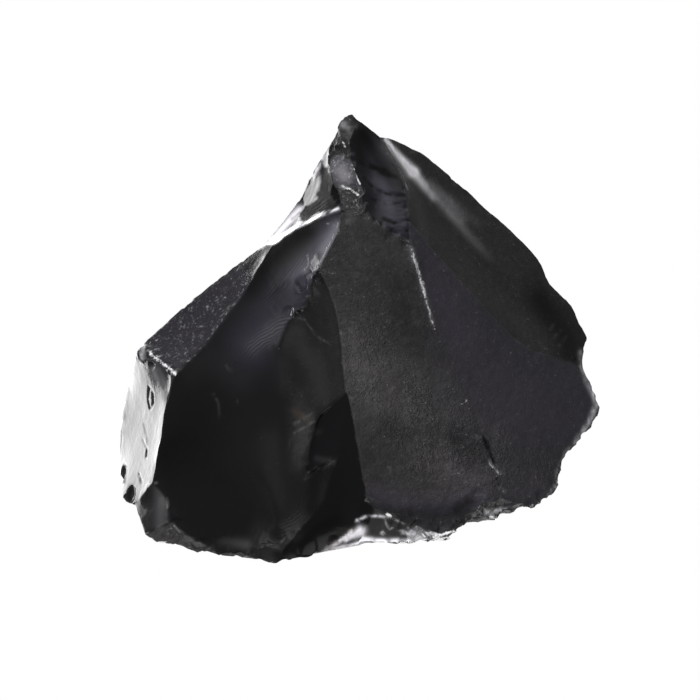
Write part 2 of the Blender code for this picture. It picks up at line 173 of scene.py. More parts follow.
# Corner, x, y and z
CORNERS = corner_places("""
# crown, a rough double knob at the top
tip -1.2 5.7 58.6  /back -2.6 6.3 58.2  /left -3.8 5.1 55.8  /right .1 6.8 57.1
crown_left -4.5 6.1 53.7  /front -1.6 3.1 55.1  brow_top -5.1 3.9 51.9  /low -4 1.5 48.5
# crown facet on the right of the crown
crest_left -1.4 1.8 52.6  /left_low .2 -.8 49  /foot 1 -3 45.5  /low 4 -3.5 43.5  /corner 7.5 -2.5 41
/right_low 7.5 -1 43.5  /right 6.5 3 49.5  /right_top 3.1 8 54.1
# wing, the hollow on the left of the crown
junction -2.5 -3.5 46.5  wing_low -6.5 -2 44.5  /low_mid -9.5 -.5 42.5  /end -13.5 1.5 39
/rim_end -15 5 37.5  /rim_low -11 8.5 41.5  /rim_mid -9 9 44  /rim -8 9 46.5  /rim_top -6.5 8 50
# shoulder on the upper left
shoulder_rim -18.5 5 35  /rim_low -26.5 3 29  /low -17 -.5 33  /low_mid -20.5 -3 29
/low_end -24.5 -6 24.5  /corner -28 -8.5 22  knob_top -33.3 .9 23.4  /end -34.8 -.4 21.7
/front -32.9 -3.2 21.6
# cheek, the bright facet on the far left
cheek_edge -29.5 -9.5 18.5  /edge_low -30.2 -12 13.5  /foot -31.8 -14.4 6.1  /rim -37 4 14
/rim_low -38.5 2 6.5  /rim_foot -38.5 0 .8  /low -37 -9.5 .5  /low_front -35 -11.5 .6
# heel, the small scar at the bottom left
heel_left -34 -15 .8  /front -32.5 -20.5 .6  /inner -29.3 -16.7 4.6  /inner_low -29 -19.5 2.5
# foot of the great facet
foot_left -23.5 -27 .5  /inner -25.9 -22.5 1.6  /corner -30.5 -22.5 .5  /hollow -27.5 -23.5 .8
/nick -22 -26 1  /mid -18.5 -27.5 .5  /front -12.5 -28.5 .4  /right -7.5 -27 .6  /lip -14.5 -27 1.8
# backbone, the long ridge down the middle
bone_top -3.5 -5 44  /bend -6.3 -7.6 39.2  /upper -4 -9.5 34.5  /mid -3 -12 30  /notch -2 -15.4 22
/lower -1 -17 19  /low 0 -19 12.5  /foot 1 -20.5 7  /end 2 -21 5
# step left in the great facet by a smaller blow
step_top -7.7 -5.6 36.1  /in -8.3 -8.6 33.1  /out -11.1 -7.5 30.5  /low -12.6 -9.4 26.7
/end -10 -13.5 21
# notch below it
notch_left -6.6 -16.6 18.3  /low -7.7 -17.7 14.2  /point -8.6 -19.2 9.5  /right -5.3 -19.7 12.1
/far -3.1 -18.8 13.4
# lip between the great facet and the gully
lip_top -4.8 -20.5 10.4  /mid -5.3 -22.2 7.1  /low -9 -24.6 3.8
# front foot, right of the backbone
sill_start 6 -21 4  /mid 9 -20.5 1.5  /right 12 -20 1  /rise 14.5 -19.5 1.8  /corner 18 -18.5 3.2
/top 19 -17 4.7  /end 23.5 -14 1.8  base_front -4.5 -25.5 .8  /bone 0 -23 .6  /sill 5.5 -22.5 .4
/right 13.5 -22 .4  /rise 15.5 -20 .5  /corner 18.5 -17.5 .6  /end 22 -16 .4
# bruised ridge that fades out down the right-hand face
bruise_top 8 -4.2 38.2  /mid 10 -7.3 34.5  /low 12 -12.5 28.5  /fade 13.5 -15.5 20.5  /end 15.5 -18 12
# back edge of the right-hand face
flank_top 12.5 0 37  /mid 18.5 .5 30  /low 23 2 24  /foot 27.5 3.5 20  /end 35.5 9 15.5
# roll along the right shoulder
roll_top 9.5 11 46.5  /mid 13.5 11.5 41  /low 19 11 35  /end 25.5 10 28
# skyline of the right shoulder
sky_top 5.5 12 52.5  /high 11 15 48.5  /upper 16.5 17 43  /mid 20 18 39  /low 24.5 19 35
/lower 29.5 19.5 29.5  /nick 31 19 25.5  /foot 35 18 22  /end 37.5 16 17  /corner 37 14 15.5
# right-hand end
end_top 37.7 8.1 12.3  /tip 39.2 8 8.1  /low 38 5.1 6.6  /chip 34.5 1 4.5  /waist 32 -2.3 3.5
/foot 31.9 -4.4 1.2  /toe 30 -8.5 .5  /heel 26.5 -12.5 .4
# hidden back
back_top 0 15 49.5  /right 27 26 12  /end 35 16 8  /mid 2 26 27  /left -22 18 23  /low -9 29 8
# the flat face it rests on
rest_cheek -36 -8 0  /heel -33 -15 0  /left -31 -20 0  /foot -23 -25.5 0  /front -12 -27 0
/bone -3.5 -24 0  /sill 4.5 -21 0  /right 13 -20.5 0  /end 21.5 -14.5 0  /toe 28.5 -8 0  /waist 29 6 0
/far_right 28 20 0  /back 9 27 0  /back_left -14 27 0  /far_left -32 15 0  /near_left -37 5 0
""")
# Facet, how far it is pressed in, then, unless it is plain, how fine it is cut and how
# matt, crushed and violet it is, how much painted highlight (its haze) it carries, and how wavy it is: its
# ring of corners
FACETS = facets_of("""
knob -.3 1 .35 .18 0 .012 1: tip/back/left crown_front tip_right
knob_low -.3 .9 .4 .2 0 .005 1: tip_left crown_left brow_top crest_left crown_front
brow .3 .9 .3 .24 .4 .03 .4: brow_top/low crest_left_low/left
crushed .4 .8 .4 .22 0 .005 1: brow_low junction crest_foot/left_low
crest 1 1.15 .05 0 .1 0 .3: crown_front
    crest_left/left_low/foot/low/corner/right_low/right/right_top tip_right
wing_upper 1 1 .05 0 .2 0 .3: crown_left wing_rim_top/rim brow_low/top
wing_lower 1.2 1.1 .05 0 .2 0 .3: wing_rim/rim_mid/rim_low/rim_end/end/low_mid/low junction
    brow_low
shoulder .4 1.4 .25 .21 .25 0 .6: wing_rim_end shoulder_rim/rim_low knob_top/front
    shoulder_corner/low_end/low_mid/low wing_end
left_knob -1.4 .8 .3 .3 0 .02 .6: knob_top/end/front
cheek .5 1.25 .05 0 0 .01 .12: knob_front/end
    cheek_rim/rim_low/rim_foot/low/low_front/foot/edge_low/edge shoulder_corner
heel .8 1.1 0 0 0 .01 0: cheek_foot/low_front heel_left/front/inner_low/inner
great 3 1.4 0 0 0 .0025 .35: shoulder_corner cheek_edge/edge_low/foot heel_inner/inner_low
    foot_inner/mid/lip lip_low/mid/top notch_far/right/point/low/left step_end/low/out/in/top
    bone_bend/top junction wing_low/low_mid/end shoulder_low/low_mid/low_end
stepped 1.2 1.3 .1 0 0 0 .4: bone_bend step_top/in/out/low/end notch_left bone_notch/mid/upper
notch .8 1.2 0 0 0 0 .5: bone_notch notch_left/low/point/right/far
foot_scar .5 1 .35 .16 0 .01 1: heel_inner_low/front foot_corner/hollow/left/nick/mid/inner
foot_flake .3 1.1 .2 .05 0 .004 .5: foot_lip/mid/front lip_low
gully 2.2 1.4 0 0 0 0 .4: bone_notch notch_far lip_top/mid/low foot_front/right base_front/bone
    bone_end/foot/low/lower
face .4 1.6 .6 0 .05 .002 .5: junction bone_top/bend/upper/mid/notch/lower/low/foot/end
    sill_start/mid/right/rise/corner bruise_end/fade/low/mid/top crest_corner/low/foot
flank .3 1.6 .5 0 .4 .001 .45: crest_corner bruise_top/mid/low/fade/end sill_corner/top/end
    end_heel/toe/foot/waist/chip/low/tip/top flank_end/foot/low/mid/top crest_right_low
sill_scar .8 .9 .2 .1 0 .02 .3: bone_end base_bone/sill sill_mid/start
sill_chip .3 .95 .4 .3 0 .1 .8: sill_mid base_sill/right sill_right
sill_rough .3 .95 .3 .2 0 .005 1: sill_right base_right/rise/corner sill_corner/rise
sill_bright .3 .95 .4 .25 0 .03 .8: sill_corner base_corner/end sill_end/top
roll_inner .7 1.5 .35 .1 0 0 .6: crest_right_top/right/right_low flank_top/mid/low/foot/end
    sky_corner/end/foot/nick/lower roll_end/low/mid/top
roll_outer .3 1.5 .45 .1 0 0 .6: crest_right_top roll_top/mid/low/end
    sky_lower/low/mid/upper/high/top
# hidden side
back_crown .4 2.1 .35 .05 .1 .006 .8: tip/right crest_right_top sky_top/high/upper back_top
back_right_up 1.2 2.1 .15 0 .3 .012 .8: back_top sky_upper/mid/low/lower/nick/foot back_right/mid
back_right_low .8: back_right sky_foot/end back_end rest_far_right
back_end_up .3: sky_end/corner flank_end end_top back_end
back_end_low .6: back_end end_top/tip rest_waist/far_right
back_foot 1 2.1 .05 0 .15 .01 .6: back_mid/right rest_far_right/back back_low
back_foot_left .1: back_low rest_back/back_left
back_left_up 1 2.1 .45 0 .1 .008 .8: tip_left/back tip back_top/mid/left shoulder_rim
    wing_rim_end/rim_low/rim_mid/rim/rim_top crown_left
back_left_low 1.5 2.1 .4 .05 .1 .008 .8: back_left/mid/low rest_back_left/far_left
left_side .8 2.1 .1 0 .2 .01 .6: back_left rest_far_left/near_left cheek_rim_low/rim knob_end/top
    shoulder_rim_low/rim
# undercut strip down to the resting face
under_cheek 0: cheek_rim_low rest_near_left/cheek cheek_low/rim_foot
under_heel 0: cheek_low rest_cheek/heel heel_left cheek_low_front
under_left 0: heel_left rest_heel/left heel_front
under_foot 0: heel_front rest_left/foot foot_left/hollow/corner
under_front 0: foot_left rest_foot/front foot_front/mid/nick
under_gully 0: foot_front rest_front/bone base_front foot_right
under_bone 0: base_front rest_bone/sill base_bone
under_sill 0: base_bone rest_sill/right base_right/sill
under_right 0: base_right rest_right/end base_end/corner/rise
under_end 0: base_end rest_end/toe end_foot/toe/heel sill_end
under_tip .8 1.3 .5 .2 0 .01 1: end_foot rest_toe/waist end_tip/low/chip/waist
rest 0 5 .7 0 0 .01 .5:
    rest_cheek/heel/left/foot/front/bone/sill/right/end/toe/waist/far_right/back/back_left/far_left/near_left
""")
# Ridges that are only a roll: the surface runs smoothly over them
ROLLS = ("bruise_top/mid/low/fade/end sill_corner", "roll_mid/low/end sky_lower", "step_low/end notch_left")
# Chips along the ridges: how many, ball radius, depth, corners passed
CHIP_RUNS = """
8 1 .06 tip_left/back tip/right
10 1.2 .14 tip_left crown_left brow_top crest_left crown_front
14 .6 .05 crown_front crest_left/left_low/foot
6 1.2 .15 brow_low crest_left_low
22 1 .12 brow_low junction crest_foot/low/corner
9 .6 .04 crest_corner/right_low/right/right_top
5 .8 .02 crown_left wing_rim_top/rim/rim_mid/rim_low/rim_end
4 .6 .02 wing_end/low_mid/low junction
14 1 .04 wing_rim_end shoulder_rim/rim_low knob_top
6 .7 .06 knob_top/end/front/top
12 .9 .12 knob_front shoulder_corner
8 1 .06 shoulder_low_mid/low_end/corner
10 .9 .03 knob_end cheek_rim/rim_low/rim_foot
8 .6 .04 cheek_rim_foot/low/low_front heel_left/front
6 .6 .04 cheek_low_front/foot heel_inner/inner_low
40 1.6 .18 heel_front foot_corner/hollow/left/nick/mid/front
20 1 .1 heel_inner_low foot_inner/mid
6 2 .12 foot_lip lip_low foot_front
22 2.2 .14 foot_front/right base_front/bone/sill
34 1.7 .2 bone_end sill_start/mid/right/rise/corner
34 1.8 .18 base_sill/right/rise/corner/end
20 1.6 .22 sill_corner/top/end end_heel
26 1.3 .15 base_end end_heel/toe/foot/waist
26 1.2 .1 end_waist/chip/low/tip/top flank_end
12 1.4 .05 flank_end sky_corner/end/foot/nick/lower
8 1.5 .03 sky_lower/low/mid/upper/high/top
5 .8 .03 bone_top/bend/upper
8 .6 .06 step_top/in/out/low
8 1.2 .08 notch_left/low/point/right/far
22 2.4 .11 back_top/mid/low
10 2.2 .1 back_top sky_upper
30 2.6 .13 back_left/mid/right
40 2.6 .15 back_left rest_far_left/back_left/back/far_right
20 2.4 .14 back_right rest_far_right/waist
10 2.2 .1 back_left shoulder_rim
12 2 .15 rest_near_left/cheek/heel
"""
# Facets crushed all over: facet, how many small bites, ball radius and depth
CRUSHED = """
knob 16 .7 .06  knob_low 24 .8 .12  crushed 50 .8 .14  left_knob 6 .6 .05
foot_scar 40 1.2 .12  sill_chip 14 1.2 .12  sill_rough 30 1.1 .15  sill_bright 16 1.2 .12
under_tip 24 1.6 .15  back_foot 6 3 .07  back_left_up 8 3 .07  left_side 6 2.5 .07
"""
# Ripples round a blow: its pixel, first and last ring, spacing, height, and the stroke
# they show along, if not all over
RIPPLES = """
262,480 4 9.9 1.05 .07 26 320,472 320,498 300,522 on great
215,520 7 10.8 1.6 .07 14 262,480 274,502 272,545
338,214 12 24 1.15 .02
352,400 6 24 1.9 .04 on gully
400,245 27 40 2.2 .04 on face flank
345,250 6 22 2.2 .03 on stepped
"""
# Ripples on the hidden scars: the blow's x, y and z, first and last ring, spacing, height
BACK_RIPPLES = """
-2 14 52 10 38 3.4 .18 on back_left_up
2 16 48 8 42 3.6 .17 on back_right_up
26 26 14 6 36 2.4 .16 on back_foot
-22 18 22 6 28 2.2 .15 on back_left_low
-24 14 24 6 24 2 .12 on left_side
30 22 16 4 18 1.8 .06 on back_right_low
"""
# Flutes that run down a scar: two pixels that one runs through, spacing, height, stroke
FLUTES = """
340,194 306,216 .85 .08 11 344,196 324,203 303,216 on wing_upper/lower
326,160 300,205 1.3 .02 30 326,160 300,205
262,262 190,345 1.3 .02 40 262,262 190,345 on shoulder
"""
# Stains and painted light: kind, strength, stroke. The haze rows are painted highlights and reflections, the
# dull and dark rows painted shade; pale is crushed glass, brown is rust, matte is grain, violet is the
# glass's tint and in places a painted sheen, and bare takes haze, violet and matte away
# bruised edge that runs down between the face and the flank: crushed glass, with a painted highlight along
# it
# chipped foot: painted reflection of the white table on the chips, crushed glass, a rusty stain and painted
# shade
# crown: painted highlights on the knob and the crest, crushed edges, violet tint, and painted shade in the
# dark bands and rings of the crest
# great facet: the round scar at its foot, with a painted highlight along its rim, faint painted reflection,
# grain and bare lines
# great facet: the sheen by the ridge and its long tail, painted as a reflection, white and violet, partly
# over the glass's own violet tint, with painted highlights along the step lines
# painted highlight: the light streak on the roll beside the crown
# right-hand end: painted shade, and painted highlights along its bright edges
# right-hand face: grain, broad bands of painted reflection and painted shade, violet tint, crushed specks, a
# crack with painted shade in it and painted highlights beside it
# rust, and faint painted reflection low on the great facet's foot
# shoulder and the left knob: painted shade, crushed bands and painted highlights, also on the great facet
# below
# wing: painted highlight streaks where the glass catches the light, painted shade patches, and a rusty stain
STAINS = """
# bruised edge that runs down between the face and the flank
pale .36 5.5 404,241 409,247 413,255 on face flank crest
pale .66>.55 3.8>2.8 413,254 418,270 424,292 430,315 on face flank
haze .13>.1 4>3 412,250 424,293 433,325
pale .5>.3 1.8 430,315 435,330 441,346
# light streak on the roll beside the crown
haze 1.6>1.3 3>6.6 386,140 396,153 405,163 413,172 on roll_inner/outer
haze .9>.25 6.4>5 413,172 424,186 434,198
haze .11>.07 8 430,185 444,197 454,208 462,220 on roll_outer/inner
haze .02 7 452,200 478,224 on roll_outer
haze .14>.02 6>7 434,196 448,212 470,236 490,258 on roll_inner/outer
haze .02>.015 7>12 402,170 412,190 420,215 424,240 on roll_inner
# crown
haze .13 5.5 342,124 349,129 on knob
haze .045 4 351,124 357,128 on crest
pale .55 2 343,143 345,148 on knob/low
haze .17>.15 12>11 341,168 346,180 on brow
pale .75 2.6 353,164 357,174 360,184
pale .55 2.4 342,186 350,189 358,195 on brow crushed
pale .2 2.4 344,208 356,206 364,202 on crushed
pale .4 2.6 405,182 408,190 on crest roll_inner
pale .3 1.6 367,213 385,229 400,239 409,241 on face crest
violet .6>.9 10>18 372,146 380,180 397,228 on crest
haze .014>.018 10>11 372,180 390,190 398,224
haze .035>.014 4.5>7 356,122 378,142 396,162
haze .035 3 404,172 408,190 409,215 on crest roll_inner
bare .8 8>6 354,134 358,148 361,160 on crest
dull .9>.8 14>16 364,132 373,150 382,170
dull .3 7 386,172 396,200 398,230
dull .6 3>4.6 358,162 376,169 396,177
dull .7 2.4 364,178 373,188 385,194 405,197
dull .5 1.8 370,198 386,204 402,203
dull .8 2.6 382,217 394,223 409,221
dull .8 2.2 388,227 397,232 409,231
bare .85 3.4>4.6 362,161 378,168 396,176
bare .85 2.2 366,179 373,188 383,193 404,196
bare .55 1.7 372,200 388,204 402,202
bare .35 1.6 376,210 390,213 404,211
bare .85 2.2 384,219 395,223 408,221
bare .8 2 389,228 398,232 408,231
# wing
haze 1 2.4>4 338,209 325,213 312,219 297,227 272,247 on wing_lower
haze 1 7>6 300,211 288,222 274,238
brown .15 6 336,194 318,200 306,208 on wing_upper/lower crushed
dark 1.25 5>9.5 325,172 324,183 321,194 on wing_upper/lower
dark 1.25 6.5 331,176 335,193
haze .8 3 323,157 318,168 312,179
dark .9 3.2 337,126 336,137 332,149 on knob/low back_left_up wing_upper
haze .5 1.2 300,219 310,211 320,204 on wing_upper/lower
dark 1.25 9>6.5 343,191 331,196 319,203 305,216
dull .6 5 313,211 303,220 on wing_lower
haze .35 2 330,198 316,205 303,214 on wing_upper/lower
haze .3 2 322,189 311,199 299,212
dull 1>.9 14>6 341,194 329,201 316,208 304,216
dull .85 5>2.6 342,200 332,206 320,211
dull .5 2.4 318,193 305,207 292,219 on wing_lower
# shoulder and the left knob
dark .9 1.6 138,344 137,352 140,361 146,365 on left_knob cheek left_side
dark .7 1.2 149,349 148,356 146,362 on left_knob cheek shoulder
dull .7>.55 5>5.5 152,361 160,377 165,398 on cheek
dull .55 3 168,380 168,398 165,415 163,436
dark .8 3 125,466 124,482 on cheek under_cheek
dark .75 4.4 131,487 130,503
dull .6 1.6 143,424 147,440 146,456 on cheek
dull .6 2.4 139,474 141,485
dull .3 4 140,495 140,505 143,516 on cheek heel under_heel
dull .7>1.3 62>58 200,430 205,475 232,512 on great
dull .8 34 176,455 182,485 200,525
dull .9 7 268,247 256,257 249,268 on shoulder
dull .85 16>24 308,231 286,243 264,266 250,286 on great
dull .55 7 318,256 312,268
dull .3 16 283,296 276,320
dull .7 3.6 296,281 301,288
dark .7 1.8 305,276 310,272 on great stepped
dull 1.1 16 318,462 314,482 312,508 on great
dull .9 10 278,555 298,546 318,531 338,520 on gully foot_flake
haze .004 24 188,372 208,360 238,380 on great
haze .004 14 282,346 284,384 on great stepped
haze .004 16 316,292 322,340 330,385 on stepped
haze .006 11 330,296 338,350 342,392
haze .004 10 298,300 300,332 on stepped great
pale .55 2.8>3.6 177,376 170,369 160,361 149,352 on shoulder cheek left_knob
pale .22>.28 2.2 262,262 225,315 200,350 181,372 on shoulder
pale .3 4 186,352 178,364
haze .16 7 155,370 162,384 168,398 on cheek
haze .3 4 142,346 142,358 on left_knob cheek
haze .14 1.7 166,494 168,503 168,516 on heel great
dull .8 17 147,486 147,508 150,530 on heel
haze .045 12 158,488 161,505 159,526
haze .35 1.8 149,484 156,483 on heel cheek great
haze .1 1.5 169,521 178,529 187,535 on great foot_scar
# great facet: the sheen by the ridge and its long tail
violet 1>.9 20>17 336,228 326,244 314,262 300,276 on great
haze .24>.2 9 337,228 330,241 320,258 308,272
haze .055>.035 14 326,242 313,256 297,276
pale .3 4 328,223 335,226 340,233 on great face
violet .45>.55 34>36 292,292 272,318 252,345 on great
haze .035>.028 14>12 283,320 268,332 254,346
haze .012>.006 20>24 300,262 282,274 262,300
haze .03 1.3 286,319 294,317 304,320 on great stepped
haze .035 1.3 305,322 312,332 320,339 331,345 on stepped
haze .01>.009 20>16 292,335 312,362 322,398 on stepped great
haze .028 2 213,394 218,402 220,418 on great
haze .028 2.2 234,396 237,402
haze .016 2 226,366 232,372
# great facet: the round scar at its foot
haze .035>.07 1.5 320,508 311,521 298,532 282,541 262,547
haze .006>.01 13>15 312,478 316,496 306,514 290,528
haze .006>.014 15>13 236,500 250,520 262,540
haze .01 5 316,458 328,460 336,463 on great stepped notch
haze .03 1.4 304,479 319,471 334,460 on great notch
haze .006 14 296,408 306,430 300,460 on stepped great
matte .16 16 300,396 308,430 300,466
matte .12 18 270,440 276,500 on great
matte .3 34 430,462 490,470 545,468 on face flank
dull .22 30 455,450 500,462 545,462 on flank
matte .18 26 445,255 490,300 540,340 on roll_inner
bare .7 4 256,470 268,487 276,508 278,530 274,545 on great
haze .06 1.6 291,426 303,419 315,411 on stepped great
haze .05 1.6 294,433 305,427 316,420
# right-hand face
matte .45 46 356,350 380,390 420,420 480,450 on face flank
haze .018>.012 16>24 350,340 358,380 370,420 on face
bare .22 18 392,262 404,310 418,352
haze .05 1.5 452,449 466,443 482,437 on face flank
haze .01 30>34 380,400 420,430 460,450 on face
haze .008 10 352,236 358,262
violet .6>.4 20 375,498 430,512 480,500 on face flank
dull .6 15 366,504 400,515 440,514 470,506 on face
haze .014 30 350,368 395,366 435,385 on face flank
haze .004 16 380,245 402,268 424,296
dull .32 20 385,428 430,434 475,440
violet .28>.22 18>46 424,258 450,310 480,370 540,420 on flank face
pale .45 1.8 448,385 453,389 on face flank
pale .55 1.8 462,404 467,401
dark .95 2.2 485,437 489,448 495,463
dark .7 1.3 495,464 501,474
pale .44 2>3 487,459 491,466 500,474
haze .12 1.6 466,439 476,436 485,437
dark .7 1.3 497,477 499,485
haze .14 3.4 490,461 500,473
haze .45 3 501,488 504,491
haze .12 1.6 388,466 390,470 on face
haze .05 1.6 340,333 348,328 352,331
# right-hand end
dull .75 24 540,300 562,332 570,352 on roll_inner
haze .35 4.4 581,352 583,366 588,384 594,396 on flank roll_inner back_end_up
haze .08 2 551,329 556,321 on roll_inner
haze .07 2 554,338 561,330
haze .06 2.4 559,346 566,337
haze .8>.5 4>3.4 595,393 596,406 589,421 575,443 on flank under_tip back_end_low/end_up
haze .5>.35 3>3.6 575,444 567,453 560,465 on flank under_tip
haze .3 2.6 557,470 554,484 549,496 on flank under_tip/end
pale .38 3>3.2 558,468 556,490 540,504 514,508 on flank
# chipped foot
haze .8>.6 2>1.8 357,521 365,517 377,516 388,517 on sill_scar face gully
pale .75 3 387,514 393,518 on sill_scar face
haze .9>1.3 3>6.5 346,540 353,536 361,531 on sill_scar gully under_bone/gully
haze 1.3 4.4 326,554 342,549 364,543 on under_bone/gully gully sill_scar
haze .6>1 2.6 324,551 334,545 344,538 352,531 on gully
brown .4 7 332,545 342,539 352,531
dull .6 4 330,541 340,534 349,526
haze 1.3>1 4.5>3 358,538 375,541 398,541 426,541 on sill_scar/chip under_bone/sill
haze .25 1.4 385,519 387,528 381,533 on sill_scar
haze .3 1.5 381,533 392,528 402,531 411,536
haze .28 1.5 393,519 404,524 414,533 424,537 on sill_scar face sill_chip
haze .35 3 403,533 416,535 on sill_scar/chip
pale .8 3 418,538 430,533 440,535 456,531 on sill_chip/rough face
pale .7 2.8 430,541 448,538 458,534 on sill_chip/rough
pale .36 4 468,527 480,520 488,512 on sill_rough
haze .9>.5 4>2.6 488,513 500,509 511,511 522,514 on sill_bright flank
pale .7 3 490,517 506,519 520,516 on sill_bright under_right
# rust
brown .3 7 294,412 306,420 316,430 on stepped great notch
brown .1 9 160,530 190,541 232,548 on foot_scar great
haze .06 9 222,538 246,544 on great foot_scar/flake
haze .025 6 188,539 215,546 248,551 on foot_scar/flake
brown .15 12 300,540 315,550 on gully
"""
# Bruised line between the face and the flank, from the crest down
BRUISE = "408,230 411,250 418,270 426,292 433,318 441,347 452,400 466,460 480,520"
# Fine lines in the glass: centre, spacing in pixels, strength, stroke; they ridge the bump and brighten and
# darken the painted highlight and the violet, as painted ripple shading
FINE_RIPPLES = """
305,402 3.1 1 13 250,350 266,338 284,324 on great
120,160 3 .45 14 300,262 286,280 270,298
420,150 2.6 .2 12 330,232 318,250 306,268
396,150 4.2 .35 16 384,198 392,206 400,228 on crest
262,480 3.5 .7 20 310,474 314,494 302,514 286,526 on great
210,520 6 .4 16 236,500 250,520 262,540
350,200 3.4 .2 18 330,270 330,320 338,370 on stepped
352,400 4.6 .3 20 330,420 335,480 340,520 on gully notch
215,470 5 .15 22 270,430 280,460 on great
150,430 4 .2 12 132,420 140,450 on cheek
"""
# Pits and cracks: depth, stroke
GROOVES = """
.22 1.5 149,388 153,394 153,404 150,409 148,400 149,388 on cheek
.12 1.2 143,440 147,449 146,458
.16 1.6 139,474 142,484
.16 2 290,281 281,289 272,298 on great
.3 2.3 484,437 488,449 495,463 on face flank
.12 1.6 497,478 498,487
.06 1.4 340,333 348,328 352,331 345,340 on face
.08 2.4 366,179 373,188 383,193 404,196 on crest
.08 2.4 384,219 395,223 408,221
.07 2.2 389,228 398,232 408,231
.22 2.2 309,449 307,461 303,478 on great stepped notch
"""
# Knobs that stand out of the crown and the shoulder: pixel, ball radius, rise
KNOBS = """
144,352 1.7 .8  344,127 1.9 .4  338,150 1.7 .45
"""
# Single bites: pixel, ball radius, depth
BITES = """
165,378 9 .16  123,474 2.2 .7  129,496 2.2 .8  301,284 1.4 .8  303,277 .8 .25
309,274 .9 .4  334,224 .8 .2  338,231 .7 .2  306,290 .7 .2  488,462 1.4 .3
503,490 .9 .2  452,487 .7 .15  453,388 .7 .12  465,403 .7 .12  372,525 4.5 .7
398,524 3 .45  408,529 2 .3  497,508 2.5 .5  344,146 .8 .25  337,154 1.1 .35
349,126 .9 .15  145,349 1 .2
"""
SEED = 41
NOISE_SEED = 5
RIM_MARGIN = 2.2          # how far past a bite's rim its points are looked for
DEEPEST_BITE = 2.5        # most that a point sinks, in units of the bite's depth
CHIP_STRAY = 0.15         # how far a chip strays from its ridge
WAVE_HEIGHT = 0.20
STEP_DROP, NOTCH_DROP = 0.45, 0.5
HIDDEN_LINES = 0.45       # how strongly the hidden scars are lined
HIDDEN_SPACING = 0.62


def smooth(value, low=0.0, high=1.0):
    """0 below low, 1 above high, and an easy S between."""
    part = np.clip((value - low) / (high - low), 0.0, 1.0)
    return part * part * (3.0 - 2.0 * part)


def unit(vectors):
    return vectors / np.maximum(np.linalg.norm(vectors, axis=-1, keepdims=True), 1e-12)


def raise_cage(sheet):
    """The named corners and facets, every ridge marked sharp."""
    sharp = sheet.edges.layers.float.new("crease_edge")
    scar = sheet.faces.layers.int.new("scar")
    corner = {name: sheet.verts.new(Vector(place)) for name, place in CORNERS.items()}
    for number, facet in enumerate(FACETS):
        face = sheet.faces.new([corner[name] for name in facet.ring])
        face[scar] = number
    bmesh.ops.recalc_face_normals(sheet, faces=sheet.faces[:])
    if sheet.calc_volume(signed=True) < 0.0:
        bmesh.ops.reverse_faces(sheet, faces=sheet.faces[:])
    for edge in sheet.edges:
        edge[sharp] = 1.0
    for roll in ROLLS:
        names = names_in(roll)
        for first, second in zip(names, names[1:]):
            sheet.edges.get((corner[first], corner[second]))[sharp] = 0.0


def on_ridge(vert, sharp):
    return any(edge[sharp] > 0.0 for edge in vert.link_edges)


def refine(sheet):
    """Cut every facet into even triangles and pull them taut between its ridges."""
    sharp = sheet.edges.layers.float["crease_edge"]
    scar = sheet.faces.layers.int["scar"]
    for stage in CUT_STAGES:
        many = [f for f in sheet.faces if len(f.verts) > 3]
        bmesh.ops.triangulate(sheet, faces=many)
        long_edges = []
        for edge in sheet.edges:
            limit = stage * min(FACETS[f[scar]].fineness for f in edge.link_faces)
            if edge.calc_length() > limit:
                long_edges.append(edge)
        bmesh.ops.subdivide_edges(sheet, edges=long_edges, cuts=1)
        many = [f for f in sheet.faces if len(f.verts) > 3]
        bmesh.ops.triangulate(sheet, faces=many, quad_method="SHORT_EDGE")
        for _ in range(FLATTEN_ROUNDS):
            free = [e for e in sheet.edges if e[sharp] == 0.0]
            bmesh.ops.beautify_fill(sheet, faces=sheet.faces[:], edges=free, method="ANGLE")
            loose = [v for v in sheet.verts if not on_ridge(v, sharp)]
            for _ in range(EASE_ROUNDS):
                bmesh.ops.smooth_vert(sheet, verts=loose, factor=0.6, use_axis_x=True,
                                      use_axis_y=True, use_axis_z=True)


def noise_move(shift):
    return Vector((shift, shift * 0.7, shift * 1.3))


def noise_at(points, size, octaves=3, shift=0.0):
    """Blender's own fractal noise at each point, about -1 to 1."""
    move = noise_move(shift)
    return np.array([noise.fractal(Vector(p) / size + move, 1.0, 2.0, octaves) for p in points])


def wander_at(points, size, shift=0.0):
    """A wandering arrow at each point."""
    move = noise_move(shift)
    return np.array([noise.noise_vector(Vector(p) / size + move)[:] for p in points])


def in_view(points):
    """Where points of the stone (mm) fall in the square view, in pixels."""
    tilt = math.radians(EYE_DEGREES)
    back = np.array([0.0, -math.cos(tilt), math.sin(tilt)])
    right = np.array([1.0, 0.0, 0.0])
    up = np.cross(back, right)
    away = points - (np.array(AIM_MM) + back * EYE_DISTANCE_MM)
    scale = VIEW_PX * LENS_MM / SENSOR_MM / -(away @ back)
    half = VIEW_PX / 2
    return half + scale * (away @ right), half - scale * (away @ up)


def sight_line(across, down):
    """The eye and the direction that a pixel of the view looks along."""
    tilt = math.radians(EYE_DEGREES)
    back = Vector((0.0, -math.cos(tilt), math.sin(tilt)))
    right = Vector((1.0, 0.0, 0.0))
    up = back.cross(right)
    per_pixel = SENSOR_MM / LENS_MM / VIEW_PX
    half = VIEW_PX / 2
    eye = Vector(AIM_MM) + back * EYE_DISTANCE_MM
    look = right * (across - half) * per_pixel - up * (down - half) * per_pixel - back
    return eye, look.normalized()


def trace(points, line):
    """How far each point is from a line, and how far along it that is, 0 to 1."""
    best = np.full(len(points), np.inf)
    share = np.zeros(len(points))
    steps = np.linalg.norm(np.diff(line, axis=0), axis=1)
    marks = np.concatenate([[0.0], np.cumsum(steps)]) / steps.sum()
    for k, (a, b) in enumerate(zip(line, line[1:])):
        along = b - a
        part = np.clip((points - a) @ along / (along @ along), 0.0, 1.0)
        gap = np.linalg.norm(points - a - part[:, None] * along, axis=1)
        nearer = gap < best
        best[nearer] = gap[nearer]
        share[nearer] = (marks[k] + part * (marks[k + 1] - marks[k]))[nearer]
    return best, share


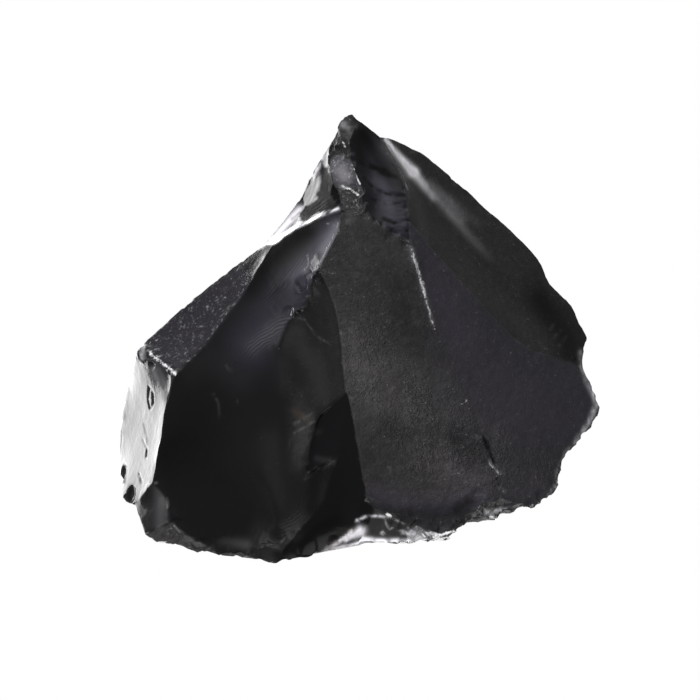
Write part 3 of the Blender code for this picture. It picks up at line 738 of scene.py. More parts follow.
class Stone:
    """The stone's skin as plain arrays, in mm, while its relief is cut."""

    def __init__(self, sheet):
        sharp = sheet.edges.layers.float["crease_edge"]
        scar = sheet.faces.layers.int["scar"]
        sheet.verts.index_update()
        self.points = np.array([v.co[:] for v in sheet.verts])
        self.tris = np.array([[v.index for v in f.verts] for f in sheet.faces])
        self.scar = np.array([f[scar] for f in sheet.faces])
        self.ridges = np.array([[v.index for v in e.verts] for e in sheet.edges
                                if e[sharp] > 0.0])
        self.number = {facet.name: i for i, facet in enumerate(FACETS)}
        self.note_edges()

    def note_edges(self):
        count = len(self.points)
        pairs = np.sort(self.tris[:, [0, 1, 1, 2, 2, 0]].reshape(-1, 2), axis=1)
        self.keys, self.side = np.unique(pairs[:, 0] * count + pairs[:, 1],
                                         return_inverse=True)
        self.side = self.side.reshape(-1, 3)
        self.ends = np.stack([self.keys // count, self.keys % count], axis=1)
        self.links = np.bincount(self.ends.ravel(), minlength=count)
        self.pinned = np.zeros(count, bool)
        self.pinned[self.ridges.ravel()] = True

    def halve(self):
        """Split every triangle in four."""
        count = len(self.points)
        middle = self.points[self.ends].mean(axis=1)
        a, b, c = self.tris.T
        ab, bc, ca = (self.side + count).T
        ridge = np.sort(self.ridges, axis=1)
        half = np.searchsorted(self.keys, ridge[:, 0] * count + ridge[:, 1]) + count
        self.ridges = np.concatenate([np.stack([ridge[:, 0], half], 1),
                                      np.stack([half, ridge[:, 1]], 1)])
        self.points = np.concatenate([self.points, middle])
        self.tris = np.concatenate([np.stack(corners, 1) for corners in (
            (a, ab, ca), (ab, b, bc), (ca, bc, c), (ab, bc, ca))])
        self.scar = np.tile(self.scar, 4)
        self.note_edges()

    def around(self, values):
        """The mean of each point's neighbours."""
        flat = values.reshape(len(values), -1)
        count = len(flat)
        out = np.empty_like(flat)
        for k in range(flat.shape[1]):
            column = np.bincount(self.ends[:, 0], flat[self.ends[:, 1], k], count)
            column += np.bincount(self.ends[:, 1], flat[self.ends[:, 0], k], count)
            out[:, k] = column / self.links
        return out.reshape(values.shape)

    def relax(self, rounds):
        for _ in range(rounds):
            moved = self.points + 0.5 * (self.around(self.points) - self.points)
            self.points = np.where(self.pinned[:, None], self.points, moved)

    def round_ridges(self, rounds):
        """Ease the bends of each ridge; corners where three ridges meet stay."""
        count = len(self.points)
        run = np.bincount(self.ridges.ravel(), minlength=count) == 2
        for _ in range(rounds):
            total = np.zeros((count, 3))
            for k in range(3):
                for here, there in ((0, 1), (1, 0)):
                    total[:, k] += np.bincount(self.ridges[:, here],
                                               self.points[self.ridges[:, there], k], count)
            middle = total[run] / 2
            self.points[run] += 0.5 * (middle - self.points[run])

    def facing(self):
        a, b, c = (self.points[self.tris[:, k]] for k in range(3))
        return np.cross(b - a, c - a) / 2

    def normals(self):
        flat = self.facing()
        out = np.zeros_like(self.points)
        for k in range(3):
            for side in range(3):
                out[:, k] += np.bincount(self.tris[:, side], flat[:, k], len(self.points))
        return unit(out)

    def on(self, names):
        """True for points on the named facets."""
        wanted = np.isin(self.scar, [self.number[name] for name in names_in(names)])
        out = np.zeros(len(self.points), bool)
        out[self.tris[wanted].ravel()] = True
        return out

    def per_point(self, kind):
        """One value of the facets' finish; a ridge gets the mean of its sides."""
        values = np.array([getattr(facet, kind) for facet in FACETS])[self.scar]
        total = np.zeros(len(self.points))
        shares = np.zeros(len(self.points))
        for side in range(3):
            total += np.bincount(self.tris[:, side], values, len(self.points))
            shares += np.bincount(self.tris[:, side], minlength=len(self.points))
        return total / shares

    def hollow_out(self):
        """Press each facet in, deepest mid-way and nothing at a ridge."""
        count = len(self.points)
        sag = np.zeros(count)
        for _ in range(SAG_ROUNDS):
            sag = np.where(self.pinned, 0.0, self.around(sag) + 1.0)
        facing = np.zeros((len(FACETS), 3))
        np.add.at(facing, self.scar, self.facing())
        facing = unit(facing)
        deepest = np.zeros(len(FACETS))
        np.maximum.at(deepest, self.scar, sag[self.tris].max(axis=1))
        dish = np.array([facet.dish for facet in FACETS]) / np.maximum(deepest, 1.0)
        push = np.zeros((count, 3))
        shares = np.zeros(count)
        for side in range(3):
            spot = self.tris[:, side]
            share = dish[self.scar] * sag[spot]
            np.add.at(push, spot, -facing[self.scar] * share[:, None])
            shares += np.bincount(spot, minlength=count)
        push /= shares[:, None]
        for _ in range(BLEND_ROUNDS):
            push = np.where(self.pinned[:, None], 0.0, (push + self.around(push)) / 2)
        self.points = self.points + push

    def ridge_gap(self):
        """How far each point is from the nearest ridge."""
        spots = np.unique(self.ridges)
        tree = kdtree.KDTree(len(spots))
        for i in spots:
            tree.insert(self.points[i], int(i))
        tree.balance()
        return np.array([tree.find(p)[2] for p in self.points])

    def line_gap(self, path):
        """How far each point is from a line through named corners."""
        return trace(self.points, corner_line(path))[0]


def corner_line(path):
    return np.array([CORNERS[name] for name in names_in(path)])


class Chisel:
    """Bites, ripples, ledges and stains, cut into the stone's skin."""

    def __init__(self, stone):
        self.stone = stone
        self.dice = np.random.default_rng(SEED)
        noise.seed_set(NOISE_SEED)
        self.refresh()

    def refresh(self):
        self.facing = self.stone.normals()
        self.tree = kdtree.KDTree(len(self.stone.points))
        for i, p in enumerate(self.stone.points):
            self.tree.insert(p, i)
        self.tree.balance()
        self.skin = bvhtree.BVHTree.FromPolygons(self.stone.points.tolist(),
                                                 self.stone.tris.tolist())

    def spot(self, pixel):
        """The point of the skin seen at a pixel of the view."""
        eye, look = sight_line(*pixel_of(pixel))
        place = self.skin.ray_cast(eye, look)[0]
        if place is None:
            raise RuntimeError(f"no stone is seen at pixel {pixel}")
        return np.array(place[:])

    def outward(self, place):
        """The way the skin faces at the point nearest to a place."""
        return self.facing[self.tree.find(Vector(place))[1]]

    def bite(self, place, outward, radius, depth):
        """Take out a ball that reaches depth below a place."""
        points = self.stone.points
        centre = place + outward * (radius - depth)
        rim = math.sqrt(2 * radius * depth)
        found = self.tree.find_range(Vector(place), rim * RIM_MARGIN)
        near = np.array([i for spot, i, gap in found], int)
        if not len(near):
            return
        away = points[near] - centre
        inside = (away * away).sum(1) < radius * radius
        near, away = near[inside], away[inside]
        down = away @ -outward
        reach = -down + np.sqrt(down * down - (away * away).sum(1) + radius * radius)
        points[near] -= outward * np.minimum(reach, depth * DEEPEST_BITE)[:, None]

    def swell(self, place, outward, radius, rise):
        """Raise a ball-like knob that stands this far above a place."""
        points = self.stone.points
        near = np.array([i for spot, i, gap in self.tree.find_range(Vector(place), radius)])
        away = points[near] - place
        height = away @ outward
        level = np.sqrt(np.maximum((away * away).sum(1) - height * height, 0.0))
        cap = np.sqrt(np.maximum(radius * radius - level * level, 0.0)) - radius + rise
        points[near] += outward * np.maximum(cap - height, 0.0)[:, None]

    def chip(self, i, radius, depth, lean):
        """Bite at a point, leaning by this much from the way it faces."""
        outward = unit(self.facing[i] + lean * self.dice.normal(size=3))
        self.bite(self.stone.points[i].copy(), outward, radius, depth)

    def chip_run(self, path, count, radius, depth):
        line = corner_line(path)
        steps = np.linalg.norm(np.diff(line, axis=0), axis=1)
        marks = np.concatenate([[0.0], np.cumsum(steps)])
        for _ in range(count):
            at = self.dice.uniform(0.0, marks[-1])
            k = min(np.searchsorted(marks, at, side="right") - 1, len(steps) - 1)
            place = line[k] + (line[k + 1] - line[k]) * (at - marks[k]) / steps[k]
            place = place + self.dice.normal(0.0, CHIP_STRAY, 3)
            size = self.dice.lognormal(0.0, 0.5)
            self.chip(self.tree.find(Vector(place))[1], radius * size,
                      depth * size ** 0.6, 0.35)

    def crush(self, name, count, radius, depth):
        candidates = np.flatnonzero(self.stone.on(name))
        for i in self.dice.choice(candidates, count):
            size = self.dice.lognormal(0.0, 0.4)
            self.chip(i, radius * size, depth * size, 0.4)

    def rings(self, names, centre, first, last, spacing, height):
        """Scalloped rings round a blow, as shell-shaped breaks have."""
        reach = np.linalg.norm(self.stone.points - centre, axis=1)
        reach = reach + 0.35 * spacing * self.sway
        band = smooth(reach, first, first + 2 * spacing)
        band = band * (1.0 - smooth(reach, last - spacing, last))
        lean = 0.6 + 0.4 * self.fade
        wave = np.abs(np.sin(math.pi * reach / spacing)) ** 0.7 - 0.64
        return height * band * wave * lean * self.stone.on(names)

    def flutes(self, names, first, last, spacing, height):
        """Long hollows side by side, all running the way of the two pixels."""
        run = unit(self.spot(last) - self.spot(first))
        wanted = self.stone.on(names)
        across = np.cross(unit(self.facing[wanted].mean(0)), run)
        place = (self.stone.points @ across) / spacing + 1.1 * self.sway
        return height * np.sin(2 * math.pi * place) * (0.5 + 0.5 * self.fade) * wanted

    def along(self, stroke, names, soft=True):
        """A stroke's mark at each point, 0 to 1, and how far along it the point is.

        A soft stroke fades like breath on glass, and a crisp one has a ragged border.
        """
        width, *spots = stroke
        line = np.array([(*pixel_of(spot), 0.0) for spot in spots])
        gap, share = trace(self.view, line)
        first, last = run_of(width)
        reach = first + (last - first) * share
        if soft:
            mark = np.exp(-2.5 * (gap / reach) ** 2)
            thin = 1.0 - smooth(reach, 2.0, 6.0)
            mark = mark * (1.0 - thin * smooth(self.broken, -0.25, 0.45))
        else:
            mark = 1.0 - smooth(gap + self.sway * reach * 0.4, reach * 0.1, reach)
        return mark * self.stone.on(names) * self.seen, share

    def chips(self, chip_depth):
        """Raise the knobs and take the chips out of the ridges and crushed facets."""
        for pixel, *size in sets_of(3, KNOBS):
            place = self.spot(pixel)
            self.swell(place, self.outward(place), *numbers(size))
        self.refresh()
        for row in rows(CHIP_RUNS):
            count, radius, depth, path = row.split(maxsplit=3)
            self.chip_run(path, int(count), float(radius), float(depth) * chip_depth)
        for name, count, radius, depth in sets_of(4, CRUSHED):
            self.crush(name, int(count), float(radius), float(depth) * chip_depth)
        for pixel, *size in sets_of(3, BITES):
            place = self.spot(pixel)
            self.bite(place, self.outward(place), *numbers(size))

    def survey(self):
        """Note what the relief and the stains go by, before the skin moves again."""
        stone = self.stone
        self.facing = stone.normals()
        self.across, self.down = in_view(stone.points)
        self.view = np.stack([self.across, self.down, np.zeros_like(self.down)], axis=1)
        eye = np.array(sight_line(0, 0)[0][:])
        self.seen = ((eye - stone.points) * self.facing).sum(1) > 0
        self.gap = stone.ridge_gap()
        self.sway = noise_at(stone.points, 3.2, 2, 3.0)
        self.fade = noise_at(stone.points, 5.5, 1, 9.0)
        self.broken = noise_at(stone.points, 1.2, 2, 5.0)

    def ripples(self):
        """How high the rings and flutes stand at each point."""
        rings = np.zeros(len(self.stone.points))
        for (pixel, *ring), stroke, names in strokes(RIPPLES, 5):
            made = self.rings(names, self.spot(pixel), *numbers(ring))
            rings += made * self.along(stroke, names)[0] if stroke else made
        for words, _, names in strokes(BACK_RIPPLES, 7):
            rings += self.rings(names, numbers(words[:3]), *numbers(words[3:]))
        for (first, last, *size), stroke, names in strokes(FLUTES, 4):
            made = self.flutes(names, first, last, *numbers(size))
            rings += made * self.along(stroke, names)[0]
        return rings

    def drop(self, facet, *borders):
        """1 on a facet and nothing at its borders: a path, and how near it all falls."""
        share = self.stone.on(facet)
        for path, near in borders:
            share = share * smooth(self.stone.line_gap(path), 0.0, near)
        return share

    def cut(self, look):
        """Chips, waves, grain, rings, ledges and pits, then a ragged wander."""
        self.chips(look.chip_depth)
        self.survey()
        stone, points = self.stone, self.stone.points
        matte = stone.per_point("matte")
        lift = WAVE_HEIGHT * stone.per_point("wavy") * noise_at(points, 9.0, 2)
        lift *= smooth(self.gap, 0.5, 5.0)
        grain = (0.004 + 0.06 * matte) * noise_at(points, 1.7, 3, 7.0)
        lift += grain * smooth(self.gap, 0.0, 0.8)
        lift += look.ripple_height * self.ripples() * smooth(self.gap, 0.0, 1.2)
        step = self.drop("stepped", ("bone_bend step_top/in/out/low", 0.6),
                         ("bone_bend/upper/mid/notch", 3.0))
        step *= 1.0 - smooth(stone.line_gap("step_top/in/out"), 4.0, 12.0)
        notch = self.drop("notch", ("notch_left/low/point/right/far", 0.8),
                          ("bone_notch notch_far", 2.5))
        lift -= STEP_DROP * step
        lift -= NOTCH_DROP * notch
        for (depth,), stroke, names in strokes(GROOVES, 1):
            lift -= float(depth) * self.along(stroke, names, soft=False)[0]
        lift *= smooth(points[:, 2], 0.0, 0.3)

        broken = np.maximum(1.0 - smooth(self.gap, 0.2, 1.6), 0.15 + 0.6 * matte)
        wander = 0.18 * wander_at(points, 4.5, 2.0) * (0.15 + 0.85 * broken)[:, None]
        wander += 0.07 * wander_at(points, 1.3, 6.0) * broken[:, None]
        wander *= smooth(points[:, 2], 0.0, 1.5)[:, None]
        moved = points + self.facing * lift[:, None] + wander
        moved[:, 2] = np.maximum(moved[:, 2], 0.0)
        stone.points = np.clip(moved, np.array(CAD_BOX[0]) / MM, np.array(CAD_BOX[1]) / MM)

    def stains(self):
        """How matt, crushed, violet and brown the skin is at each point, and where highlight (haze) and
        shade (dull) are painted on it.
        """
        made = {kind: self.stone.per_point(kind) for kind in ("matte", "pale", "violet", "haze")}
        self.soften_roll(made)
        for kind in ("brown", "dull", "beat", "fine"):
            made[kind] = np.zeros(len(self.stone.points))
        for (kind, strength), stroke, names in strokes(STAINS, 2):
            mark, share = self.along(stroke, names, kind not in ("pale", "dark"))
            first, last = run_of(strength)
            mark = (first + (last - first) * share) * mark
            # bare strokes take away painted highlight, violet and grain
            if kind == "bare":
                for sheen in ("haze", "violet", "matte"):
                    made[sheen] = made[sheen] * (1.0 - mark)
            elif kind == "pale":
                made[kind] = np.maximum(made[kind], mark)
            # dark strokes are painted shade with a ragged border
            elif kind == "dark":
                made["dull"] = np.maximum(made["dull"], mark)
            else:
                made[kind] = np.minimum(made[kind] + mark, 1.0)
        self.line_back(made)
        self.line_front(made)
        return made

    def line_back(self, made):
        """Pale ridges, and fine rings in bump and painted ripple shading, on the hidden scars."""
        points = self.stone.points
        hidden = ~self.seen
        edge = (1.0 - smooth(self.gap, 0.1, 0.8)) * smooth(self.broken, -0.2, 0.5)
        made["pale"] = np.maximum(made["pale"], HIDDEN_LINES * edge * hidden)
        for words, _, names in strokes(BACK_RIPPLES, 7):
            first, last = numbers(words[3:5])
            reach = np.linalg.norm(points - numbers(words[:3]), axis=1)
            band = smooth(reach, first, first + 4.0) * (1.0 - smooth(reach, last - 6.0, last))
            mark = HIDDEN_LINES * band * smooth(self.fade, -0.3, 0.6) * self.stone.on(names)
            mark = mark * hidden
            made["fine"] = np.maximum(made["fine"], mark)
            beat = (reach + 0.4 * self.sway) / HIDDEN_SPACING
            made["beat"] = np.where(mark > 0.0, beat, made["beat"])

    def line_front(self, made):
        """Fine lines in the glass, in bump and as painted ripple shading; where two sets cross, the stronger
        shows.
        """
        for (centre, spacing, strength), stroke, names in strokes(FINE_RIPPLES, 3):
            across, down = pixel_of(centre)
            spacing = float(spacing)
            reach = np.hypot(self.across - across, self.down - down)
            reach = reach + spacing * (0.8 * self.sway + 0.35 * self.broken)
            mark = float(strength) * self.along(stroke, names)[0]
            mark = mark * (0.6 + 0.4 * self.fade)
            stronger = mark > made["fine"]
            made["fine"][stronger] = mark[stronger]
            made["beat"][stronger] = (reach / spacing)[stronger]

    def soften_roll(self, made):
        """Let the face and the flank run into each other lower down their roll."""
        across, down = np.array([pixel_of(spot) for spot in BRUISE.split()]).T
        lower = smooth(self.down, 300.0, 400.0)
        side = (self.across - np.interp(self.down, down, across)) / (3.0 + 60.0 * lower)
        share = smooth(side + 0.3 * self.fade * lower, -1.0, 1.0)
        both = self.stone.on("face flank") & self.seen
        for kind in ("matte", "violet"):
            low, high = (getattr(FACETS[self.stone.number[name]], kind)
                         for name in ("face", "flank"))
            made[kind] = np.where(both, low + (high - low) * share, made[kind])


# Softboxes: name, where it stands (m), width and height (m), glow, seen in reflections
SOFTBOXES = [
    ("key_softbox", (-0.30, -0.38, 0.52), 0.50, 0.50, 8.0, False),
    ("low_left_softbox", (-0.30, 0.38, -0.11), 0.52, 0.50, 4.2, True),
    ("under_softbox", (0.06, -0.05, -0.35), 0.60, 0.60, 1.2, True),
    ("back_softbox", (0.10, 0.55, 0.50), 0.50, 0.30, 1.0, True),
]
SOFTBOX_AIM = (0.0, 0.0, 0.02)
# Windows: way round from the front and height (degrees), soft edge, core, glow
WINDOWS = [
    (75.0, 74.0, 42.0, 10.0, 0.55),
    (-90.0, 15.0, 18.0, 4.0, 0.35),
    (180.0, 45.0, 45.0, 10.0, 0.60),
]
FLOOR_HALF = 3.0          # half the floor's width, m
SKY_RADIUS = 6.0          # the white surround, m

# Size of the finish's noises (m), from drifts of cloud down to dust
CLOUD, LUMP, SQUIGGLE, SAND, DUST = 0.0045, 0.0011, 0.0008, 0.00035, 0.00018
GLASS_IOR = 1.5
SPECK_STRENGTH = 0.32
# Painted shade: the near-black patches with little gloss
PAINTED_SHADE_ROUGHNESS = 0.6
PAINTED_SHADE_GLINT = 0.06


class Strand:
    """A socket's value in an expression; every operator adds a Math node."""

    def __init__(self, bench, socket):
        self.bench = bench
        self.socket = socket

    def maths(self, operation, first, second=0.5):
        return self.bench.strand("ShaderNodeMath", {"operation": operation},
                                 {0: first, 1: second})

    def __add__(self, other):
        return self.maths("ADD", self, other)

    __radd__ = __add__

    def __sub__(self, other):
        return self.maths("SUBTRACT", self, other)

    def __rsub__(self, other):
        return self.maths("SUBTRACT", other, self)

    def __mul__(self, other):
        return self.maths("MULTIPLY", self, other)

    __rmul__ = __mul__


class Bench:
    """Lays out the nodes of one finish or room."""

    def __init__(self, owner):
        owner.use_nodes = True
        self.tree = owner.node_tree
        self.tree.nodes.clear()

    def node(self, kind, settings, sockets):
        made = self.tree.nodes.new(kind)
        for name, value in settings.items():
            setattr(made, name, value)
        for key, value in sockets.items():
            if isinstance(value, Strand):
                self.tree.links.new(value.socket, made.inputs[key])
            else:
                made.inputs[key].default_value = value
        return made

    def strand(self, kind, settings, sockets, output=0):
        """A new node's output, ready for an expression."""
        return Strand(self, self.node(kind, settings, sockets).outputs[output])

    def stain(self, name):
        return self.strand("ShaderNodeAttribute", {"attribute_name": name}, {}, "Fac")

    def grain(self, place, size, detail=2.0, roughness=0.5, bend=0.0):
        """Noise with lumps of about this size in metres."""
        return self.strand("ShaderNodeTexNoise", {"noise_dimensions": "3D"},
                           {"Vector": place, "Scale": 1.0 / size, "Detail": detail,
                            "Roughness": roughness, "Distortion": bend}, "Fac")

    def between(self, value, low, high):
        """0 below low and 1 above high."""
        return self.strand("ShaderNodeMapRange", {"interpolation_type": "SMOOTHSTEP"},
                           {"Value": value, "From Min": low, "From Max": high}, "Result")

    def blend(self, factor, first, second):
        """First colour at 0, second at 1."""
        return self.strand("ShaderNodeMix", {"data_type": "RGBA"},
                           {0: factor, 6: first, 7: opaque(second)}, 2)

    def surface(self, kind, sockets):
        return self.strand(kind, {}, sockets)


def opaque(colour):
    return (*colour, 1.0)


def obsidian_finish(look):
    """Black volcanic glass: glossy on fresh scars, grainy and pale where it is crushed, with painted
    highlights, reflections and shade laid into its colour.
    """
    finish = bpy.data.materials.new("raw_obsidian")
    bench = Bench(finish)
    between = bench.between
    place = bench.strand("ShaderNodeTexCoord", {}, {}, "Object")
    matte, pale, violet, brown, haze = (
        bench.stain(name) for name in ("matte", "pale", "violet", "brown", "haze"))
    clouds = bench.grain(place, CLOUD, 3.0)
    lumps = bench.grain(place, LUMP, 4.0, 0.6)
    sand = bench.grain(place, SAND, 3.0, 0.6)
    dust = bench.grain(place, DUST)

    # Crackle: a thin band on both sides of a bent noise's middle value
    middle = bench.grain(place, SQUIGGLE, 1.0, 0.5, 1.0) - 0.5
    squiggle = between(middle.maths("ABSOLUTE", middle), 0.0, 0.09)
    # Fine rings: waves of the beat, as strong as the points say; they lift the bump, and they brighten and
    # darken the painted highlight and the violet, as painted ripple shading
    turn = bench.stain("beat") * math.tau
    ribbed = turn.maths("SINE", turn) * bench.stain("fine")

    cover = between(sand * 0.9 + lumps * 0.9 + pale * 0.8, 1.12, 1.50)
    specks = between(sand, 0.62, 0.72) * matte * between(lumps, 0.50, 0.64)
    worn = between(sand * 0.5 + lumps * 0.5, 0.36, 0.64)
    tint = opaque(look.glass)
    # The haze blend is painted highlight and reflection; the violet blend is the glass's own tint, and
    # painted sheen where strokes put it by the great facet's ridge
    for factor, colour in (
            (matte * (0.45 + worn * 0.40 + squiggle * 0.15), look.matt_glass),
            (haze * (0.8 + lumps * 0.4) * (1.0 + ribbed * 0.9), look.haze),
            (violet * (0.5 + clouds * 0.2) * (1.0 + ribbed * 0.5), look.violet),
            (brown * between(clouds, 0.35, 0.6), look.brown),
            (specks * SPECK_STRENGTH, look.crushed),
            (cover * between(pale, 0.02, 0.6), look.crushed)):
        tint = bench.blend(factor, tint, colour)

    rough = look.gloss + matte * look.matt_rise + cover * pale * 0.3
    rough = rough + (clouds - 0.5) * 0.08 + (lumps - 0.5) * 0.10 * matte

    relief = (matte + pale) * (sand * 0.7 + dust * 0.3) * look.grain_height
    relief = relief + lumps * (0.10 + matte) * (look.grain_height * 1.6)
    relief = relief + clouds * (look.grain_height * 0.8)
    rife = between(matte, 0.45, 1.0) * between(clouds, 0.3, 0.6)
    relief = relief + squiggle * rife * look.crackle + ribbed * look.fine_ripple
    bump = bench.strand("ShaderNodeBump", {},
                        {"Strength": 1.0, "Distance": 1.0, "Height": relief}, "Normal")
    skin = bench.surface("ShaderNodeBsdfPrincipled", {
        "Base Color": tint, "Roughness": rough, "IOR": GLASS_IOR, "Normal": bump})
    # Painted shade: a near-black skin with little gloss, mixed in where the dull and dark strokes lie,
    # darkens the glass where no light is reflected
    grime = bench.surface("ShaderNodeBsdfPrincipled", {
        "Base Color": opaque(look.grime), "Roughness": PAINTED_SHADE_ROUGHNESS, "IOR": GLASS_IOR,
        "Specular IOR Level": PAINTED_SHADE_GLINT, "Normal": bump})
    dull = bench.stain("dull") * (0.85 + lumps * 0.3)
    both = bench.surface("ShaderNodeMixShader", {0: dull, 1: skin, 2: grime})
    bench.node("ShaderNodeOutputMaterial", {}, {"Surface": both})
    return finish


def share_of(name, description, default, most=1.0):
    return bpy.props.FloatProperty(name=name, description=description, default=default,
                                   min=0.0, max=most, subtype="FACTOR")


def length_of(name, description, default, least=0.0, most=0.001):
    return bpy.props.FloatProperty(name=name, description=description, default=default,
                                   min=least, max=most, unit="LENGTH")


def colour_of(name, description, default):
    return bpy.props.FloatVectorProperty(name=name, description=description, size=3,
                                         default=default, min=0.0, max=1.0, subtype="COLOR")


class StoneSettings(bpy.types.PropertyGroup):
    """What a user may change about the stone."""

    chip_depth: share_of(
        "Chip depth", "How deep the chips along the ridges go, 1 as found", 1.0, 2.0)
    ripple_height: share_of(
        "Ripple height", "How high the rings round each blow stand, 1 as found", 1.0, 3.0)
    grain_height: length_of("Grain height", "How rough the crushed skin is", 0.00016)
    crackle: length_of(
        "Crackle", "Depth of the crackle lines on the grainy scars", 0.00015)
    fine_ripple: length_of(
        "Fine ripple", "Height of the finest rings in the glass", 0.00002)
    gloss: share_of("Gloss", "Roughness of a fresh glassy scar", 0.12)
    matt_rise: share_of("Matt rise", "How much rougher the grainy scars are", 0.34)
    glass: colour_of("Glass", "Colour of the fresh glass", (0.0035, 0.0035, 0.0042))
    matt_glass: colour_of("Matt glass", "Colour of the grainy scars", (0.055, 0.051, 0.051))
    # Violet: the glass's own tint, and in the great facet's sheen by the ridge a painted reflection
    violet: colour_of(
        "Violet sheen", "Colour of the sheen under the glass", (0.056, 0.050, 0.074))
    brown: colour_of("Brown stain", "Colour of the rusty stains", (0.075, 0.055, 0.038))
    crushed: colour_of(
        "Crushed glass", "Colour of powdered edges and specks", (0.80, 0.79, 0.81))
    # Painted shade: colour of the near-black patches that darken the glass
    grime: colour_of("Grime", "Colour of patches with no gloss", (0.006, 0.0058, 0.0063))
    # Painted highlight: near-white colour laid where strokes put streaks of light, reflections and rim
    # glints on the glass
    haze: colour_of("Haze", "Colour of the thin bruised haze", (0.94, 0.92, 0.97))


class StudioSettings(bpy.types.PropertyGroup):
    """What a user may change about the studio."""

    eye_angle: bpy.props.FloatProperty(
        name="Eye angle", description="How far above the table the eye stands",
        default=math.radians(EYE_DEGREES), subtype="ANGLE")
    eye_distance: length_of("Eye distance", "From the lens to the middle of the stone",
                            EYE_DISTANCE_MM * MM, 0.1, 5.0)
    lamp_strength: share_of("Lamp strength", "All softboxes together, 1 as set", 1.0, 10.0)
    surround: colour_of(
        "Surround", "Colour of the room that the glass reflects", (1.0, 1.0, 1.0))
    room_glow: share_of(
        "Room glow", "How bright the room is away from its windows", 0.12, 2.0)
    floor: colour_of("Floor", "Colour of the table and the sweep behind it", (1.0, 1.0, 1.0))


class OBSIDIAN_OT_stone(bpy.types.Operator):
    """Break the chunk out of the glass and give it its finish"""

    bl_idname = "obsidian.stone"
    bl_label = "Obsidian chunk"

    def execute(self, context):
        look = context.scene.obsidian_stone
        sheet = bmesh.new()
        raise_cage(sheet)
        refine(sheet)
        stone = Stone(sheet)
        sheet.free()
        stone.round_ridges(RIDGE_ROUNDS)
        stone.hollow_out()
        for _ in range(HALVINGS):
            stone.halve()
            stone.relax(RELAX_ROUNDS)
        chisel = Chisel(stone)
        chisel.cut(look)

        mesh = bpy.data.meshes.new("raw_obsidian_chunk")
        mesh.from_pydata((stone.points * MM).tolist(), [], stone.tris.tolist())
        for name, values in chisel.stains().items():
            layer = mesh.attributes.new(name, "FLOAT", "POINT")
            layer.data.foreach_set("value", values.astype(np.float32))
        mesh.shade_smooth()
        mesh.update()
        if not FEWEST_FACES < len(mesh.polygons) < MOST_FACES:
            raise RuntimeError(f"the chunk came out with {len(mesh.polygons)} faces")
        mesh.materials.append(obsidian_finish(look))
        chunk = bpy.data.objects.new("raw_obsidian_chunk", mesh)
        context.scene.collection.objects.link(chunk)
        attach(chunk, "root")
        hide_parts(NODE)
        return {"FINISHED"}


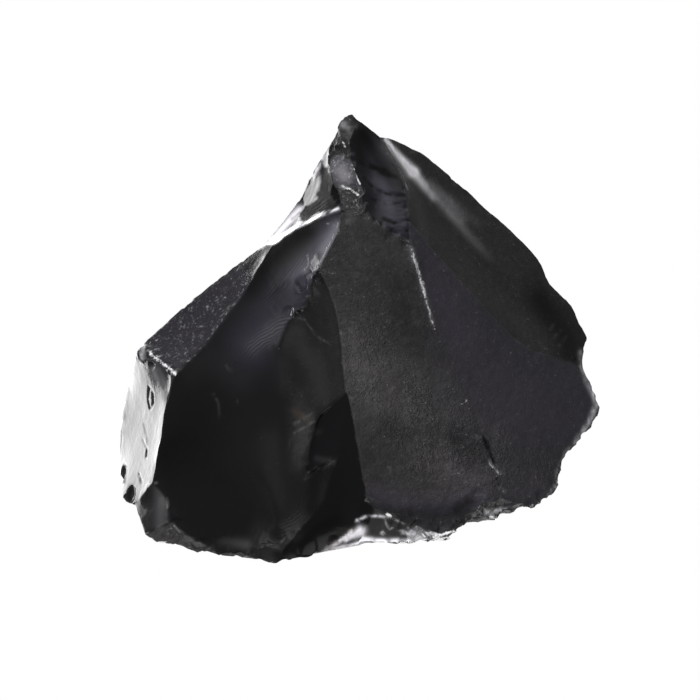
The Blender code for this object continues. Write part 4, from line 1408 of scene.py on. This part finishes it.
class OBSIDIAN_OT_studio(bpy.types.Operator):
    """Set out the pale table, the softboxes and the camera"""

    bl_idname = "obsidian.studio"
    bl_label = "Studio"

    def execute(self, context):
        settings = context.scene.obsidian_studio
        scene = context.scene
        self.set_table(scene, settings)
        for name, place, width, height, glow, mirrored in SOFTBOXES:
            lamp = bpy.data.lights.new(name, "AREA")
            lamp.shape = "RECTANGLE"
            lamp.size, lamp.size_y = width, height
            lamp.energy = glow * math.pi * width * height * settings.lamp_strength
            box = bpy.data.objects.new(name, lamp)
            box.location = place
            aim = Vector(SOFTBOX_AIM) - box.location
            box.rotation_euler = aim.to_track_quat("-Z", "Y").to_euler()
            box.visible_camera = False
            box.visible_glossy = mirrored
            scene.collection.objects.link(box)
        self.set_room(scene, settings)
        self.set_camera(scene, settings)
        scene.view_settings.view_transform = "Standard"
        return {"FINISHED"}

    def set_room(self, scene, settings):
        """A dim room that is paler towards its windows."""
        room = bpy.data.worlds.new("studio_room")
        bench = Bench(room)
        way = bench.strand("ShaderNodeTexCoord", {}, {}, "Generated")
        glow = settings.room_glow
        for side, height, edge, core, pane in WINDOWS:
            side, height, edge, core = (math.radians(n) for n in (side, height, edge, core))
            toward = (math.sin(side) * math.cos(height), -math.cos(side) * math.cos(height),
                      math.sin(height))
            near = bench.strand("ShaderNodeVectorMath", {"operation": "DOT_PRODUCT"},
                                {0: way, 1: toward}, "Value")
            glow = bench.between(near, math.cos(edge), math.cos(core)) * pane + glow
        paint = bench.surface("ShaderNodeBackground",
                              {"Color": opaque(settings.surround), "Strength": glow})
        bench.node("ShaderNodeOutputWorld", {}, {"Surface": paint})
        scene.world = room

    def set_table(self, scene, settings):
        """A floor and a sweep that glow evenly and light nothing."""
        paint = bpy.data.materials.new("white_sweep")
        bench = Bench(paint)
        glow = bench.surface("ShaderNodeEmission",
                             {"Color": opaque(settings.floor), "Strength": 1.0})
        bench.node("ShaderNodeOutputMaterial", {}, {"Surface": glow})
        for name in ("table", "sweep"):
            shape = bmesh.new()
            if name == "table":
                bmesh.ops.create_grid(shape, x_segments=2, y_segments=2, size=FLOOR_HALF)
            else:
                bmesh.ops.create_icosphere(shape, subdivisions=4, radius=SKY_RADIUS)
            mesh = bpy.data.meshes.new(name)
            shape.to_mesh(mesh)
            shape.free()
            mesh.materials.append(paint)
            made = bpy.data.objects.new(name, mesh)
            made.visible_glossy = False
            made.visible_diffuse = False
            made.visible_shadow = False
            scene.collection.objects.link(made)

    def set_camera(self, scene, settings):
        lens = bpy.data.cameras.new("studio_camera")
        lens.lens = LENS_MM
        lens.sensor_width = SENSOR_MM
        lens.clip_start, lens.clip_end = 0.01, 50.0
        camera = bpy.data.objects.new("studio_camera", lens)
        back = Vector((0.0, -math.cos(settings.eye_angle), math.sin(settings.eye_angle)))
        camera.location = Vector(AIM_MM) * MM + back * settings.eye_distance
        camera.rotation_euler = (-back).to_track_quat("-Z", "Y").to_euler()
        scene.collection.objects.link(camera)
        scene.camera = camera


class OBSIDIAN_PT_panel(bpy.types.Panel):
    """The obsidian chunk and its studio"""

    bl_label = "Obsidian Chunk"
    bl_idname = "OBSIDIAN_PT_panel"
    bl_space_type = "VIEW_3D"
    bl_region_type = "UI"
    bl_category = "Obsidian"

    def draw(self, context):
        for settings, operator in ((context.scene.obsidian_stone, OBSIDIAN_OT_stone),
                                   (context.scene.obsidian_studio, OBSIDIAN_OT_studio)):
            box = self.layout.box()
            for name in settings.__annotations__:
                box.prop(settings, name)
            box.operator(operator.bl_idname)


CLASSES = (StoneSettings, StudioSettings, OBSIDIAN_OT_stone, OBSIDIAN_OT_studio,
           OBSIDIAN_PT_panel)


def register():
    for kind in CLASSES:
        bpy.utils.register_class(kind)
    bpy.types.Scene.obsidian_stone = bpy.props.PointerProperty(type=StoneSettings)
    bpy.types.Scene.obsidian_studio = bpy.props.PointerProperty(type=StudioSettings)


def unregister():
    del bpy.types.Scene.obsidian_studio
    del bpy.types.Scene.obsidian_stone
    for kind in reversed(CLASSES):
        bpy.utils.unregister_class(kind)


def main():
    register()
    bpy.ops.obsidian.stone()
    bpy.ops.obsidian.studio()


if __name__ == "__main__":
    main()
